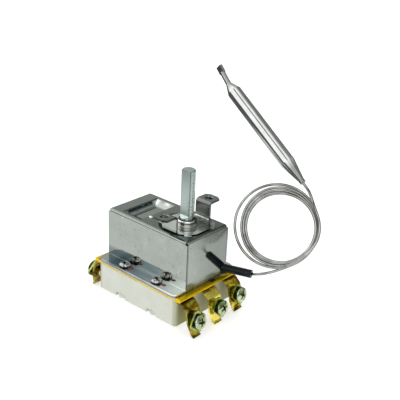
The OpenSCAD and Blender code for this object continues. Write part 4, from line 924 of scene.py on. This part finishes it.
to_back = studio.dot(where, (0.309, 0.951, 0)).span(-1, 1)
sky = to_back.ramp((0.0, (1.4, 1.42, 1.4)), (0.45, (1.4, 1.42, 1.4)), (0.575, (0.85, 0.87, 0.85)),
                   (0.705, (0.30, 0.31, 0.30)), (0.815, (0.15, 0.155, 0.15)), (0.91, (0.25, 0.26, 0.25)))
back_left, back_right, front_left = (-0.63, 0.64, 0.44), (0.58, 0.65, 0.49), (-0.67, -0.58, 0.46)
sky = studio.tint(patch(back_left, 9, 22), sky, (0.57, 0.60, 0.57))
sky = studio.tint(patch(back_right, 14, 34), sky, (0.50, 0.52, 0.50))
sky = studio.tint(patch(front_left, 4, 8), sky, (0.72, 0.86, 0.95))
# the grey gap between two soft boxes overhead, and the dark horizon
between_boxes = abs(studio.dot(where, (0.4006, 0.788, 0.468)) - 0.05).span(0.20, 0.11, soft=True)
overhead = patch((0.06, -0.50, 0.865), 16, 32)
sky = studio.tint(between_boxes * overhead, sky, (0.36, 0.37, 0.36))
above_horizon = studio.dot(where, (0, 0, 1)).span(0.02, 0.12, soft=True)
sky = studio.tint(above_horizon, (0.06, 0.065, 0.065), sky)
in_mirror = studio.add("ShaderNodeLightPath", out="Is Glossy Ray")
to_camera = studio.add("ShaderNodeLightPath", out="Is Camera Ray")
white = (1, 1, 1)
plain_light, soft_boxes, backdrop = background(white, 0.78), background(sky), background(white, 1.05)
lighting = studio.add("ShaderNodeMixShader", None, {0: in_mirror, 1: plain_light, 2: soft_boxes})
lighting = studio.add("ShaderNodeMixShader", None, {0: to_camera, 1: lighting, 2: backdrop})
studio.add("ShaderNodeOutputWorld", None, {"Surface": lighting})
housing_mid = Vector((0, 0, 0.03))


def lamp(name, at, width, watts):
    """A square soft box in metres, aimed at the housing, that no surface mirrors."""
    data = bpy.data.lights.new(name, "AREA")
    data.shape = "RECTANGLE"
    data.size = data.size_y = width
    data.energy = watts
    obj = link(bpy.data.objects.new(name, data))
    obj.location = at
    obj.rotation_euler = (housing_mid - Vector(at)).to_track_quat("-Z", "Y").to_euler()
    obj.visible_glossy = False


lamp("key", (0.25, -0.85, 0.8), 0.6, 3)
lamp("fill", (-0.9, -0.3, 0.8), 0.7, 2)
scene.view_settings.view_transform = "Standard"
scene.view_settings.look = "None"

bpy.context.view_layer.update()
